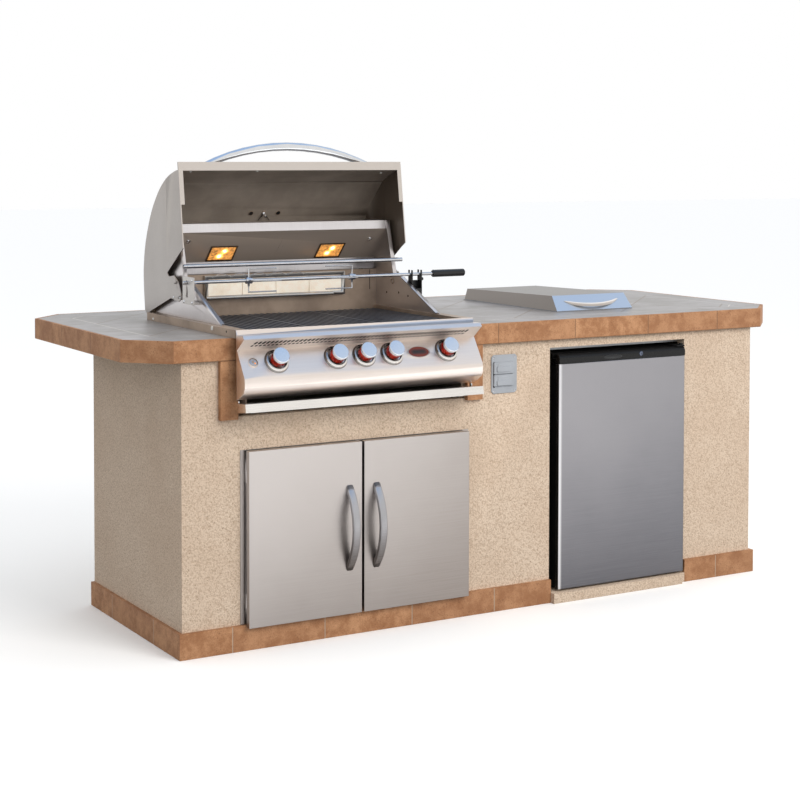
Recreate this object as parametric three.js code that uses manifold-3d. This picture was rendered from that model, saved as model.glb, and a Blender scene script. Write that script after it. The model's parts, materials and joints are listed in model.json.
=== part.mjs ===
// Outdoor kitchen island: a tiled and stuccoed island with a built-in gas grill, two access doors,
// a small refrigerator, an outlet and a covered side burner.
// Millimetres, +Z up. The front faces -Y and +X runs along the front to the right.
// Sizes are measured from the front left corner of the walls on the floor. The whole island is then
// moved so that its origin is the middle of its footprint on the floor.
import * as THREE from 'three';
import { mergeVertices } from 'three/addons/utils/BufferGeometryUtils.js';
import Module from 'manifold-3d';

const wasm = await Module();
wasm.setup();

// Gaps and overruns
const fitGap = 0.3;
const cutOverrun = 6;

// Walls, counter and base tiles
const wallLength = 2122;
const wallDepth = 705;
const wallThickness = 35;
const counterHeight = 914;
const edgeTileHeight = 64;
const tileThickness = 10;
const counterOverhangEnd = 145;
const counterOverhangFront = 18;
const counterOverhangBack = 255;
const counterCornerCut = 115;
const plinthHeight = 75;
const plinthProud = 12;

// Steel frame inside the walls
const frameTube = 38;
const grillRailDrop = 279;
const grillRailHeight = counterHeight - grillRailDrop;

// Opening for the grill in the front, with a tiled column on each side
const grillCentre = 555;
const fireboxWidth = 738;
const grillOpeningGapLeft = 15;
const grillOpeningGapRight = 30;
const grillOpeningDrop = 231;
const grillOpeningLeft = grillCentre - fireboxWidth / 2 - grillOpeningGapLeft;
const grillOpeningRight = grillCentre + fireboxWidth / 2 + grillOpeningGapRight;
const grillOpeningBottom = counterHeight - grillOpeningDrop;
const columnWidth = 56;
const columnOverlap = 5;
const columnBottom = grillOpeningBottom - columnOverlap;
const columnSetback = 2;
const columnTongue = 6;

// Access doors
const doorPairCentre = 574;
const doorWidth = 373;
const doorBottom = 68.5;
const doorSeam = 8;
const doorFaceY = -32;
const doorThickness = 19.5;
const doorSheet = 2.5;
const doorLip = 14;
const doorPivotInset = 1.5;
const doorFlangeMargin = 14;
const doorFlangeWidth = (doorWidth + doorFlangeMargin) * 2 + doorSeam;
const doorHeadroom = 97;
const doorTopMargin = 1.5;
const doorFlangeTop = grillOpeningBottom - doorHeadroom;
const doorHeight = doorFlangeTop - doorTopMargin - doorBottom;
const doorFlangeBorder = 22;
const doorFlangeThickness = 2.4;
const doorLinerDepth = 60;
const doorLinerInset = 15;
const doorHingeBlock = 9.4;
const doorHingeHeight = 40;
const doorHingeEndOffset = 55;
const doorHandleOffset = 46;
const doorHandleHeight = 328;
const doorHandleSpan = 258;
const doorHandleRise = 50;
const doorHandleWidth = 23;
const doorHandleThickness = 17;
const frameGapToGrill = 36;
const frameGapToDoors = 25;
const doorFlangeRight = doorPairCentre + doorFlangeWidth / 2;
const frameMiddleX = Math.max(grillOpeningRight + frameGapToGrill, doorFlangeRight + frameGapToDoors);

// Refrigerator and its recess
const recessLeft = 1277;
const recessRight = 1829;
const recessDrop = 91;
const recessTop = counterHeight - recessDrop;
const platformHeight = 32;
const platformNose = 30;
const platformNoseShortfall = 24;
const fridgeGapLeft = 19;
const fridgeLeft = recessLeft + fridgeGapLeft;
const fridgeGapRight = 5;
const fridgeRight = recessRight - fridgeGapRight;
const fridgeFront = 45.5;
const fridgeRearGap = 5;
const fridgeTopGap = 23;
const fridgeTop = recessTop - fridgeTopGap;
const fridgeWall = 26;
const fridgeDoorInsetLeft = 10;
const fridgeDoorLeft = fridgeLeft + fridgeDoorInsetLeft;
const fridgeDoorInsetRight = 1;
const fridgeDoorRight = fridgeRight - fridgeDoorInsetRight;
const fridgeDoorBottom = 38;
const fridgeCapHeight = 30;
const fridgeDoorTop = fridgeTop - fridgeCapHeight;
const fridgeDoorFace = -14;
const fridgeDoorBow = 2;
const fridgeSkinDepth = 18;
const fridgeLinerDepth = 40;
const fridgeLinerInset = 5;
const fridgeCapDepth = 54;
const fridgeGripWidth = 14;
const fridgeGripDepth = 16;
const fridgeCapRound = 12;
const fridgeHingeInset = 11;
const fridgeHingeThickness = 4;
const fridgePinRadius = 7;
const fridgePinHeight = 8;
const shelfHeight = 400;
const shelfBar = 6;
const shelfClearance = 3;
const shelfBars = 12;

// Weatherproof outlet
const outletOffset = 109;
const outletCentreX = frameMiddleX + outletOffset;
const outletDrop = 163;
const outletCentreZ = counterHeight - outletDrop;
const outletWidth = 96;
const outletHeight = 122;
const outletPlateThickness = 3;
const outletCorner = 7;
const outletLidWidth = 72;
const outletLidHeight = 36;
const outletLidThickness = 5;
const outletLidSpacing = 39;
const outletLidShift = -3;
const outletWindowInset = 6;
const outletBoxWidth = 70;
const outletBoxHeight = 92;
const outletBoxDepth = 40;
const outletPinRadius = 2.6;

// Side burner
const burnerLeft = 1449;
const burnerWidth = 317;
const burnerFront = 202;
const burnerDepth = 577;
const burnerLidFrontHeight = 49;
const burnerLidRearHeight = 38;
const burnerLidSideInset = 7;
const burnerLidFrontInset = 40;
const burnerLidSheet = 2.5;
const burnerLidLift = 0.4;
const burnerPanInset = 30;
const burnerPanDepth = 64;
const burnerPanWall = 2.5;
const burnerFlangeThickness = 2.4;
const burnerHingeRadius = 3.5;
const burnerHingeGap = 0.5;
const burnerHingeLength = 60;
const burnerHeadRadius = 38;
const burnerHeadHeight = 22;
const burnerHeadShares = [[0, 0], [1, 0], [1, 0.7], [0.8, 1], [0, 1]];
const burnerHeadSpread = 210;
const burnerHeadClearance = 12;
const burnerGrateBar = 8;
const burnerGrateHeight = 9;
const burnerGrateCrossBars = 9;
const burnerHandleSpan = 230;
const burnerHandleRise = 33;
const burnerHandleSink = 6;
const burnerHandleTilt = 20;
const burnerHandleWidth = 12;
const burnerHandleThickness = 9;

// Grill body
const fireboxFront = -35.7;
const fireboxBack = 590;
const fireboxWall = 3;
const chamberBack = 520;
const rimRise = 24;
const rimTop = counterHeight + rimRise;
const fireboxHeight = 190;
const fireboxBottom = rimTop - fireboxHeight;
const rimWidth = 36;
const rimOutset = 33;
const rimBack = 630;
const counterCutClearance = 3;
const greaseHoleWidth = 200;
const greaseHoleDepth = 150;
const ledgeDepth = 12;
const ledgeThickness = 9;
const grateDrop = 10;
const grateTop = rimTop - grateDrop;
const grateThickness = 10;
const tamerDrop = 62;
const tamerHeight = grateTop - tamerDrop;
const tamerRise = 24;
const tamerSheet = 2;
const tamerRidges = 8;
const runnerWidth = 9;
const runnerThickness = 3;
const runnerDrop = 52;
const runnerBottom = fireboxBottom - runnerDrop;

// Control panel, as a folded sheet: shares are of its depth from the front and its height from the bottom
const panelWidth = fireboxWidth + rimOutset * 2;
const panelFront = -98;
const panelDepth = 62;
const panelDrop = 10;
const panelBottom = fireboxBottom - panelDrop;
const panelHeight = 201;
const panelSheet = 3;
const panelTopShares = [[0.94, 1], [0.88, 0.93], [0.26, 0.935], [0.1, 0.886]];
const panelFaceTopShares = [0.84, 0.711];
const panelFaceBottomShares = [0.032, 0.333];
const panelNoseShares = [[0, 0.27], [0, 0.2], [0.1, 0.13], [0.53, 0.05], [0.9, 0]];
const faceCentreShare = 0.46;
const knobInsetLeft = 114;
const knobInsetRight = 116;
const knobSpacing = 95;
const badgeOffset = 93;
const buttonInset = 39;
const knobEnds = [knobInsetLeft - panelWidth / 2, panelWidth / 2 - knobInsetRight];
const knobPositions = [knobEnds[0], -knobSpacing, 0, knobSpacing, knobEnds[1]];
const badgePosition = knobSpacing + badgeOffset;
const buttonPosition = buttonInset - panelWidth / 2;
const badgeWidth = 81;
const badgeHeight = 40;
const badgeThickness = 2;
const badgeSides = 24;
const bezelRadius = 37;
const bezelInnerRadius = 27.5;
const bezelHeight = 10;
const ringShares = [[1, 0.35], [0.7, 0.9], [0.25, 1]];
const knobStemRadius = 4;
const knobStemClearance = 1.5;
const knobBodyRadius = 23.5;
const knobCapRadius = 25;
const knobHeight = 42;
const knobCapHeight = 11;
const knobStandoff = 1.5;
const knobSides = 28;
const buttonRingRadius = 15.5;
const buttonRadius = 12;
const buttonProud = 4;
const buttonShares = [[1, 0.75], [0.85, 1], [0, 1]];
const buttonTravel = 3;
const buttonStemLength = 12;
const buttonFitGap = 0.5;
const manifoldRadius = 8;
const manifoldDepth = 26;
const valveRadius = 10;
const manifoldBracketDepth = 5;

// Drip tray: shares are of the bar's depth from the front and its height from the bottom
const trayBarFront = -105;
const trayBarDepth = 59;
const trayBarDrop = 47;
const trayBarBottom = fireboxBottom - trayBarDrop;
const trayBarHeight = 32;
const trayBarShares = [[0.95, 0.88], [0.085, 1], [0, 0.25], [1, 0]];
const traySheet = 2;
const trayPanInset = 194;
const trayPanDepth = 470;
const trayPanHeight = 22;

// Hood, closed: shares are of the side's depth from the front and its height above the rim
const hoodEndInset = 7;
const hoodWidth = panelWidth - hoodEndInset * 2;
const hoodSideDepth = 421;
const hoodSideHeight = 335;
const hoodFrontY = 0;
const hoodRimGap = 12;
const hoodRimZ = rimTop + hoodRimGap;
const hoodSheet = 3;
const hoodOpenAngle = 98;
const hoodSkinShares = [[0, 0], [0, 0.07], [0.024, 0.26], [0.083, 0.442], [0.169, 0.597], [0.285, 0.743],
  [0.473, 0.896], [0.651, 0.973], [0.82, 0.996], [0.974, 1], [1, 0.961]];
const hoodRearShares = [[0.917, 0.355], [0.955, 0.173], [0.94, 0.125], [0.893, 0.119], [0.808, 0.17],
  [0.757, 0.25], [0.757, 0.37], [0.727, 0.406], [0.606, 0.093], [0.575, 0]];
const hoodSkinSteps = 26;
const hoodLipDepth = 24;
const hoodLipThickness = 6;
const hoodRimFlange = 11.5;
const hoodRimFlangeLength = 108;
const hingeBack = 388;
const hingeUp = 53;
const hingeBoltRadius = 4;
const earBoltRadius = 7;
const boltHeight = 4;
const earBoltBack = 339;
const earBoltUp = 70.5;
const hoodHandleSpan = 700;
const hoodHandleRise = 93;
const hoodHandleThickness = 27;
const hoodHandleWidth = 22;
const hoodHandleUp = 38;
const thermometerRadius = 38;
const thermometerThickness = 16;
const thermometerStemRadius = 5;
const thermometerStemLength = 24;
const thermometerShare = 0.457;
const thermometerSeat = 0.9;
const thermometerShares = [[0.8, 0.1], [1, 0.4], [1, 0.8], [0.9, 1], [0.85, 0.85], [0, 0.85]];

// Rear housing with its side shields
const shieldOutset = 16;
const shieldSheet = 3;
const shieldFlange = 14;
const shieldToeY = 112;
const shieldKneeY = 338;
const shieldKneeRise = 105;
const shieldKneeZ = rimTop + shieldKneeRise;
const cheekFootY = 385;
const cheekTopY = 437;
const housingTopRise = 287;
const housingTopZ = rimTop + housingTopRise;
const housingLipRise = 260;
const housingLipZ = rimTop + housingLipRise;
const housingTopBackY = 525;
const housingShoulderY = 590;
const housingShoulderRise = 212;
const housingShoulderZ = rimTop + housingShoulderRise;
const housingBackY = 612;
const housingFaceBackY = 537;
const housingFaceFootRise = 160;
const housingFaceFootZ = rimTop + housingFaceFootRise;
const housingBottomRise = 122;
const housingBottomZ = rimTop + housingBottomRise;
const housingSheet = 3;
const hingeBossRadius = 9;
const lampSpread = 194.5;
const lampShift = -2;
const lampDrop = 30;
const lampWidth = 89;
const lampHeight = 64;
const lampDepth = 24;
const lampFrame = 2.5;
const lampFrameThickness = 2;
const lampFitGap = 0.4;
const railY = 370;
const railRise = 160;
const railZ = rimTop + railRise;
const railRadius = 6.5;
const railEndGap = 5;
const railLug = 8;

// Rear burner
const rearBurnerLeft = 300;
const rearBurnerRight = 805;
const rearBurnerRise = 42;
const rearBurnerBottom = rimTop + rearBurnerRise;
const rearBurnerHeight = 76;
const rearBurnerDepth = 12;
const rearBurnerFrame = 11;
const rearBurnerRecess = 7;
const rearTubeRadius = 6;
const rearTubeStandoff = 9;
const rearTubeRightShare = 0.9;
const rearTubeClips = 4;
const rearTubeClipWidth = 6;

// Rotisserie
const spitY = 302;
const spitRise = 115;
const spitZ = rimTop + spitRise;
const spitRadius = 5.5;
const forkLeftX = 355;
const forkRightX = 718;
const forkHubRadius = 10;
const forkHubLength = 20;
const forkProngRadius = 2.2;
const forkProngLength = 95;
const forkSpread = 36;
const forkScrewRadius = 3.5;
const forkScrewHeight = 18;
const gripRadius = 12;
const bracketSheet = 3;
const motorBracketOutset = 38;
const motorBracketX = grillCentre - fireboxWidth / 2 - motorBracketOutset;
const motorBracketFront = 249;
const motorBracketDepth = 84;
const motorBracketDrop = 65;
const motorBracketRise = 19;
const motorBracketFoot = 8;
const motorFootInset = 19;
const motorSlotWidth = 15;
const motorSlotLength = 44;
const yokeDepth = 25;
const yokeWidth = 38;
const yokeDrop = 66;
const yokeRise = 14;
const yokeBlock = 20;
const yokeNotchGap = 0.6;
const yokeNutDrop = 16;
const yokeNutRadius = 5;
const yokeNutLength = 10;
const spitTipLength = 11;
const spitOutset = 124;
const spitLeft = motorBracketX - spitTipLength;
const spitRight = grillCentre + fireboxWidth / 2 + spitOutset;
const gripOverlap = 30;
const gripLength = 123;
const gripLeft = spitRight - gripOverlap;
const gripRight = gripLeft + gripLength;

// Burners and grates inside the firebox
const grateCount = 3;
const grateGap = 3;
const grateBars = 12;
const grateBarWidth = 6;
const grateCrossThickness = 4;
const burnerTubeCount = 4;
const burnerTubeRadius = 16;
const burnerTubeDrop = 54;
const burnerTubeZ = tamerHeight - burnerTubeDrop;
const burnerTubeEndY = 480;
const burnerRail = 12;

const axisX = new THREE.Vector3(1, 0, 0);
const axisY = new THREE.Vector3(0, 1, 0);
const axisZ = new THREE.Vector3(0, 0, 1);

// Closed triangle mesh as a solid that can be joined and cut
function solid(geometry) {
  const plain = geometry.clone();
  plain.deleteAttribute('normal');
  plain.deleteAttribute('uv');
  const merged = mergeVertices(plain);
  const corners = merged.index.array;
  const kept = [];
  for (let i = 0; i < corners.length; i += 3) {
    const [a, b, c] = [corners[i], corners[i + 1], corners[i + 2]];
    if (a !== b && b !== c && c !== a) kept.push(a, b, c);
  }
  return new wasm.Manifold(new wasm.Mesh({
    numProp: 3,
    vertProperties: new Float32Array(merged.attributes.position.array),
    triVerts: new Uint32Array(kept),
  }));
}

// Solid as a geometry that a scene can hold
function toGeometry(shape) {
  const mesh = shape.getMesh();
  const geometry = new THREE.BufferGeometry();
  geometry.setAttribute('position', new THREE.BufferAttribute(new Float32Array(mesh.vertProperties), 3));
  geometry.setIndex(new THREE.BufferAttribute(new Uint32Array(mesh.triVerts), 1));
  geometry.computeVertexNormals();
  return geometry;
}

const join = (...shapes) => shapes.reduce((sum, shape) => sum.add(shape));
const cut = (shape, ...tools) => tools.reduce((rest, tool) => rest.subtract(tool), shape);

// Box between two corners
function slab(x0, x1, y0, y1, z0, z1) {
  const geometry = new THREE.BoxGeometry(x1 - x0, y1 - y0, z1 - z0);
  return solid(geometry.translate((x0 + x1) / 2, (y0 + y1) / 2, (z0 + z1) / 2));
}

// Outline drawn on two axes and extruded along the third from a start point
function extrude(points, length, first, second, start) {
  const shape = new THREE.Shape(points.map(([a, b]) => new THREE.Vector2(a, b)));
  const geometry = new THREE.ExtrudeGeometry(shape, { depth: length, bevelEnabled: false });
  const along = first.clone().cross(second);
  geometry.applyMatrix4(new THREE.Matrix4().makeBasis(first, second, along));
  return solid(geometry.translate(start.x, start.y, start.z));
}

const extrudeAlongX = (points, x0, x1) =>
  extrude(points, x1 - x0, axisY, axisZ, new THREE.Vector3(x0, 0, 0));
const extrudeAlongY = (points, y0, y1) =>
  extrude(points, y1 - y0, axisX, axisZ, new THREE.Vector3(0, y1, 0));
const extrudeUp = (points, z0, z1) =>
  extrude(points, z1 - z0, axisX, axisY, new THREE.Vector3(0, 0, z0));

// Round bar between two points
function bar(from, to, radius, sides = 16) {
  const start = new THREE.Vector3(...from);
  const along = new THREE.Vector3(...to).sub(start);
  const geometry = new THREE.CylinderGeometry(radius, radius, along.length(), sides);
  geometry.translate(0, along.length() / 2, 0);
  geometry.applyQuaternion(new THREE.Quaternion().setFromUnitVectors(axisY, along.clone().normalize()));
  return solid(geometry.translate(start.x, start.y, start.z));
}

// Turned shape about Z from [radius, height] points that start and end on the axis
function turned(points, sides) {
  const profile = points.map(([radius, height]) => new THREE.Vector2(radius, height));
  return solid(new THREE.LatheGeometry(profile, sides).rotateX(Math.PI / 2));
}

// Folded sheet: a path and its copy, moved to the left by the thickness, as one closed outline
function sheetOutline(path, thickness) {
  const points = path.map(([a, b]) => new THREE.Vector2(a, b));
  const normals = points.slice(1).map((point, i) => {
    const along = point.clone().sub(points[i]).normalize();
    return new THREE.Vector2(-along.y, along.x);
  });
  const inner = points.map((point, i) => {
    const before = normals[Math.max(i - 1, 0)];
    const after = normals[Math.min(i, normals.length - 1)];
    const mitre = before.clone().add(after).multiplyScalar(thickness / (1 + before.dot(after)));
    return [point.x + mitre.x, point.y + mitre.y];
  });
  return [...path, ...inner.reverse()];
}

// Points of an arc over a span, as [along, out] pairs
function arcPoints(span, rise, steps) {
  const radius = (span * span / 4 + rise * rise) / (2 * rise);
  const half = Math.asin(span / 2 / radius);
  return Array.from({ length: steps + 1 }, (_, i) => {
    const angle = -half + (2 * half * i) / steps;
    return [radius * Math.sin(angle), radius * Math.cos(angle) - radius + rise];
  });
}

// Bowed handle whose ends run to a point on the face that carries it
const handleSteps = 14;
const handleRoundShare = 0.3;
function bowedHandle(span, rise, thickness, width) {
  const outer = arcPoints(span, rise, handleSteps);
  const inner = arcPoints(span - 3 * thickness, rise - thickness, handleSteps - 2);
  const shape = new THREE.Shape([...outer, ...inner.reverse()].map(([a, b]) => new THREE.Vector2(a, b)));
  const round = thickness * handleRoundShare;
  const geometry = new THREE.ExtrudeGeometry(shape, {
    depth: width - 2 * round, bevelThickness: round, bevelSize: round, bevelOffset: -round, bevelSegments: 2,
  });
  return geometry.translate(0, 0, round - width / 2);
}

// Geometry turned so that its X and Y lie on two given directions, then moved
function placed(geometry, first, second, x, y, z) {
  geometry.applyMatrix4(new THREE.Matrix4().makeBasis(first, second, first.clone().cross(second)));
  return solid(geometry.translate(x, y, z));
}

// Shares of a depth and a height as points
const atShares = (shares, y0, depth, z0, height) =>
  shares.map(([back, up]) => [y0 + back * depth, z0 + up * height]);

const island = new THREE.Group();
const finish = (color, roughness, metalness) => new THREE.MeshStandardMaterial({ color, roughness, metalness });
const finishes = {
  stucco: () => finish(0xd2b89c, 0.95, 0),
  edgeTile: () => finish(0xb0805c, 0.7, 0),
  counterTile: () => finish(0x9c9ba0, 0.55, 0),
  board: () => finish(0x8a8680, 0.9, 0),
  galvanised: () => finish(0x9a9c9e, 0.5, 0.9),
  steel: () => finish(0xb9b6b2, 0.32, 1),
  darkSteel: () => finish(0x77706a, 0.4, 1),
  chrome: () => finish(0xd8dadd, 0.12, 1),
  castIron: () => finish(0x2b2b2d, 0.7, 0.4),
  black: () => finish(0x141416, 0.35, 0),
  greyPlastic: () => finish(0xa3a7ab, 0.5, 0),
  whiteLiner: () => finish(0xe6e6e4, 0.45, 0),
  redGlow: () => finish(0xa01810, 0.3, 0),
  lampGlass: () => finish(0xffc878, 0.2, 0),
};

function addMesh(parent, name, shape, material) {
  const mesh = new THREE.Mesh(toGeometry(shape), material);
  mesh.name = name;
  parent.add(mesh);
  return mesh;
}

// Group at a point, turned about X
function turnedGroup(x, y, z, angle) {
  const group = new THREE.Group();
  group.position.set(x, y, z);
  group.rotation.x = angle;
  island.add(group);
  return group;
}

const degrees = Math.PI / 180;
const wallTop = counterHeight - edgeTileHeight - fitGap;
const frameBack = wallDepth - wallThickness - fitGap - frameTube;
const deckBottom = counterHeight - edgeTileHeight;
const deckTop = counterHeight - tileThickness - fitGap;
const counterFront = -counterOverhangFront;
const counterBack = wallDepth + counterOverhangBack;
const counterLeft = -counterOverhangEnd;
const counterRight = wallLength + counterOverhangEnd;
const plinthTop = plinthHeight;

const fireboxLeft = grillCentre - fireboxWidth / 2;
const fireboxRight = grillCentre + fireboxWidth / 2;
const rimLeft = fireboxLeft - rimOutset;
const rimRight = fireboxRight + rimOutset;
const rimBottom = counterHeight + fitGap;
const hoodLeft = grillCentre - hoodWidth / 2;
const hoodRight = grillCentre + hoodWidth / 2;
const shieldLeft = hoodLeft + shieldOutset;
const shieldRight = hoodRight - shieldOutset;
const hingeY = hoodFrontY + hingeBack;
const hingeZ = hoodRimZ + hingeUp;

// Frame of square tube that stands inside the walls
function buildFrame() {
  const near = wallThickness + fitGap;
  const far = frameBack;
  const left = near;
  const right = wallLength - near - frameTube;
  const recessPost = recessLeft - frameTube - 3 * fitGap;
  const top = wallTop - frameTube;
  const post = (x, y) => slab(x, x + frameTube, y, y + frameTube, 0, wallTop);
  const railX = (x0, x1, y, z) => slab(x0, x1, y, y + frameTube, z, z + frameTube);
  const railY = (x, z) => slab(x, x + frameTube, near, far + frameTube, z, z + frameTube);
  const frame = join(
    post(left, near), post(frameMiddleX, near), post(recessPost, near), post(right, near),
    post(left, far), post(right, far),
    railX(left, right + frameTube, far, 0), railX(left, right + frameTube, far, top),
    railX(frameMiddleX, right + frameTube, near, top), railX(left, recessPost + frameTube, near, 0),
    railX(left, frameMiddleX + frameTube, near, grillRailHeight),
    railY(left, 0), railY(left, top), railY(right, 0), railY(right, top), railY(frameMiddleX, top),
  );
  addMesh(island, 'steel_frame', frame, finishes.galvanised());
}

const doorPairLeft = doorPairCentre - doorWidth - doorSeam / 2;
const doorPairRight = doorPairCentre + doorWidth + doorSeam / 2;
const doorBackY = doorFaceY + doorThickness;
const flangeLeft = doorPairCentre - doorFlangeWidth / 2;
const flangeRight = doorPairCentre + doorFlangeWidth / 2;
const flangeBottom = plinthTop + fitGap;
const linerLeft = flangeLeft + doorLinerInset;
const linerRight = flangeRight - doorLinerInset;
const linerBottom = flangeBottom + doorLinerInset;
const linerTop = doorFlangeTop - doorLinerInset;

function buildWalls() {
  const outletHole = slab(
    outletCentreX - outletBoxWidth / 2 - fitGap, outletCentreX + outletBoxWidth / 2 + fitGap,
    -cutOverrun, wallThickness + cutOverrun,
    outletCentreZ - outletBoxHeight / 2 - fitGap, outletCentreZ + outletBoxHeight / 2 + fitGap);
  const opening = (x0, x1, z0, z1) => slab(x0, x1, -cutOverrun, wallThickness + cutOverrun, z0, z1);
  const front = cut(
    slab(0, wallLength, 0, wallThickness, 0, wallTop),
    opening(grillOpeningLeft, grillOpeningRight, grillOpeningBottom, wallTop + cutOverrun),
    opening(linerLeft - fitGap, linerRight + fitGap, linerBottom - fitGap, linerTop + fitGap),
    opening(recessLeft, recessRight, -cutOverrun, recessTop),
    outletHole,
  );
  const endFront = wallThickness + fitGap;
  const endBack = wallDepth - wallThickness - fitGap;
  addMesh(island, 'front_wall', front, finishes.stucco());
  addMesh(island, 'left_wall', slab(0, wallThickness, endFront, endBack, 0, wallTop), finishes.stucco());
  addMesh(island, 'right_wall',
    slab(wallLength - wallThickness, wallLength, endFront, endBack, 0, wallTop), finishes.stucco());
  addMesh(island, 'back_wall',
    slab(0, wallLength, wallDepth - wallThickness, wallDepth, 0, wallTop), finishes.stucco());
}

// Low platform under the refrigerator, with a nose that shows in front of the walls
function buildPlatform() {
  const left = recessLeft + fitGap;
  const right = recessRight - fitGap;
  const noseRight = right - platformNoseShortfall;
  const outline = [[left, -platformNose], [noseRight, -platformNose], [noseRight, -plinthProud],
    [right, -plinthProud], [right, frameBack - fitGap], [left, frameBack - fitGap]];
  addMesh(island, 'fridge_platform', extrudeUp(outline, 0, platformHeight), finishes.stucco());
}

// Base tiles along the front and round each end
function buildPlinth() {
  const inner = fitGap;
  const left = [[-plinthProud, -plinthProud], [recessLeft, -plinthProud], [recessLeft, -inner],
    [-inner, -inner], [-inner, wallDepth], [-plinthProud, wallDepth]];
  const end = wallLength;
  const right = [[recessRight, -plinthProud], [end + plinthProud, -plinthProud], [end + plinthProud, wallDepth],
    [end + inner, wallDepth], [end + inner, -inner], [recessRight, -inner]];
  addMesh(island, 'plinth_left', extrudeUp(left, 0, plinthTop), finishes.edgeTile());
  addMesh(island, 'plinth_right', extrudeUp(right, 0, plinthTop), finishes.edgeTile());
}

// Counter outline with its four cut corners, moved inward by an inset
function counterOutline(inset) {
  const corner = counterCornerCut - inset * (2 - Math.SQRT2);
  const [left, right] = [counterLeft + inset, counterRight - inset];
  const [front, back] = [counterFront + inset, counterBack - inset];
  return [[left + corner, front], [right - corner, front], [right, front + corner], [right, back - corner],
    [right - corner, back], [left + corner, back], [left, back - corner], [left, front + corner]];
}

const burnerRight = burnerLeft + burnerWidth;
const burnerBack = burnerFront + burnerDepth;

// The counter's deck is two boards that meet at the side burner's hole; the tiles cover their seam
function buildCounter() {
  const outline = counterOutline(tileThickness + fitGap);
  const grillCut = slab(fireboxLeft - counterCutClearance, fireboxRight + counterCutClearance,
    counterFront - cutOverrun, fireboxBack + counterCutClearance,
    deckBottom - cutOverrun, counterHeight + cutOverrun);
  const seam = burnerLeft + burnerPanInset - counterCutClearance;
  const burnerCut = slab(seam, burnerRight - burnerPanInset + counterCutClearance,
    burnerFront + burnerPanInset - counterCutClearance, burnerBack - burnerPanInset + counterCutClearance,
    deckBottom - cutOverrun, counterHeight + cutOverrun);
  const deck = cut(extrudeUp(outline, deckBottom, deckTop), grillCut, burnerCut);
  const tiles = cut(extrudeUp(outline, deckTop + fitGap, counterHeight), grillCut, burnerCut);
  const past = (x0, x1) => slab(x0, x1, counterFront, counterBack, deckBottom - cutOverrun, counterHeight);
  addMesh(island, 'counter_deck_left', cut(deck, past(seam - fitGap, counterRight)), finishes.board());
  addMesh(island, 'counter_deck_right', cut(deck, past(counterLeft, seam)), finishes.board());
  addMesh(island, 'counter_tiles', tiles, finishes.counterTile());
}

// Tiles on the counter's edge, and the two columns beside the grill that hang from them
function buildEdgeTiles() {
  const outer = counterOutline(0);
  const inner = counterOutline(tileThickness);
  const middle = wallLength / 2;
  const column = (x) => join(
    slab(x, x + columnWidth, counterFront + columnSetback, -fitGap, columnBottom, deckBottom - fitGap),
    slab(x, x + columnWidth, counterFront + columnSetback, counterFront + tileThickness,
      deckBottom - columnTongue, deckBottom + columnTongue));
  const half = (x, corners, gapX) => {
    const path = [[x, outer[0][1]], ...corners.map((i) => outer[i]), [gapX, outer[4][1]]];
    const back = [[x, inner[0][1]], ...corners.map((i) => inner[i]), [gapX, inner[4][1]]];
    return extrudeUp([...path, ...back.reverse()], deckBottom, counterHeight);
  };
  const left = join(half(grillOpeningLeft, [0, 7, 6, 5], middle - fitGap),
    column(grillOpeningLeft - columnWidth));
  const right = join(half(grillOpeningRight, [1, 2, 3, 4], middle), column(grillOpeningRight));
  addMesh(island, 'edge_tiles_left', left, finishes.edgeTile());
  addMesh(island, 'edge_tiles_right', right, finishes.edgeTile());
}

// Door frame: flange on the wall, liner through it and four hinge blocks
function buildDoorFrame() {
  const flangeBack = -fitGap;
  const flangeFront = flangeBack - doorFlangeThickness;
  const border = doorFlangeBorder;
  const flange = slab(flangeLeft, flangeRight, flangeFront, flangeBack, flangeBottom, doorFlangeTop);
  const liner = slab(linerLeft, linerRight, flangeFront, doorLinerDepth, linerBottom, linerTop);
  const hole = slab(flangeLeft + border, flangeRight - border, flangeFront - cutOverrun,
    doorLinerDepth + cutOverrun, flangeBottom + border, doorFlangeTop - border);
  const front = flangeFront - doorHingeBlock;
  const block = (x, z) => slab(x, x + doorHingeBlock, front, flangeFront + fitGap, z, z + doorHingeHeight);
  const blockLow = doorBottom + doorHingeEndOffset;
  const blockHigh = doorBottom + doorHeight - doorHingeEndOffset - doorHingeHeight;
  const blockLeft = doorPairLeft + 2 * doorPivotInset;
  const blockRight = doorPairRight - 2 * doorPivotInset - doorHingeBlock;
  const frame = join(cut(join(flange, liner), hole), block(blockLeft, blockLow), block(blockLeft, blockHigh),
    block(blockRight, blockLow), block(blockRight, blockHigh));
  addMesh(island, 'door_frame', frame, finishes.steel());
}

// Door as a folded pan with returned lips behind
function doorPan(x0, x1) {
  const [z0, z1] = [doorBottom, doorBottom + doorHeight];
  const outer = slab(x0, x1, doorFaceY, doorBackY, z0, z1);
  const pocket = slab(x0 + doorSheet, x1 - doorSheet, doorFaceY + doorSheet, doorBackY - doorSheet,
    z0 + doorSheet, z1 - doorSheet);
  const mouth = slab(x0 + doorLip, x1 - doorLip, doorFaceY + doorSheet, doorBackY + cutOverrun,
    z0 + doorLip, z1 - doorLip);
  return cut(outer, pocket, mouth);
}

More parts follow.
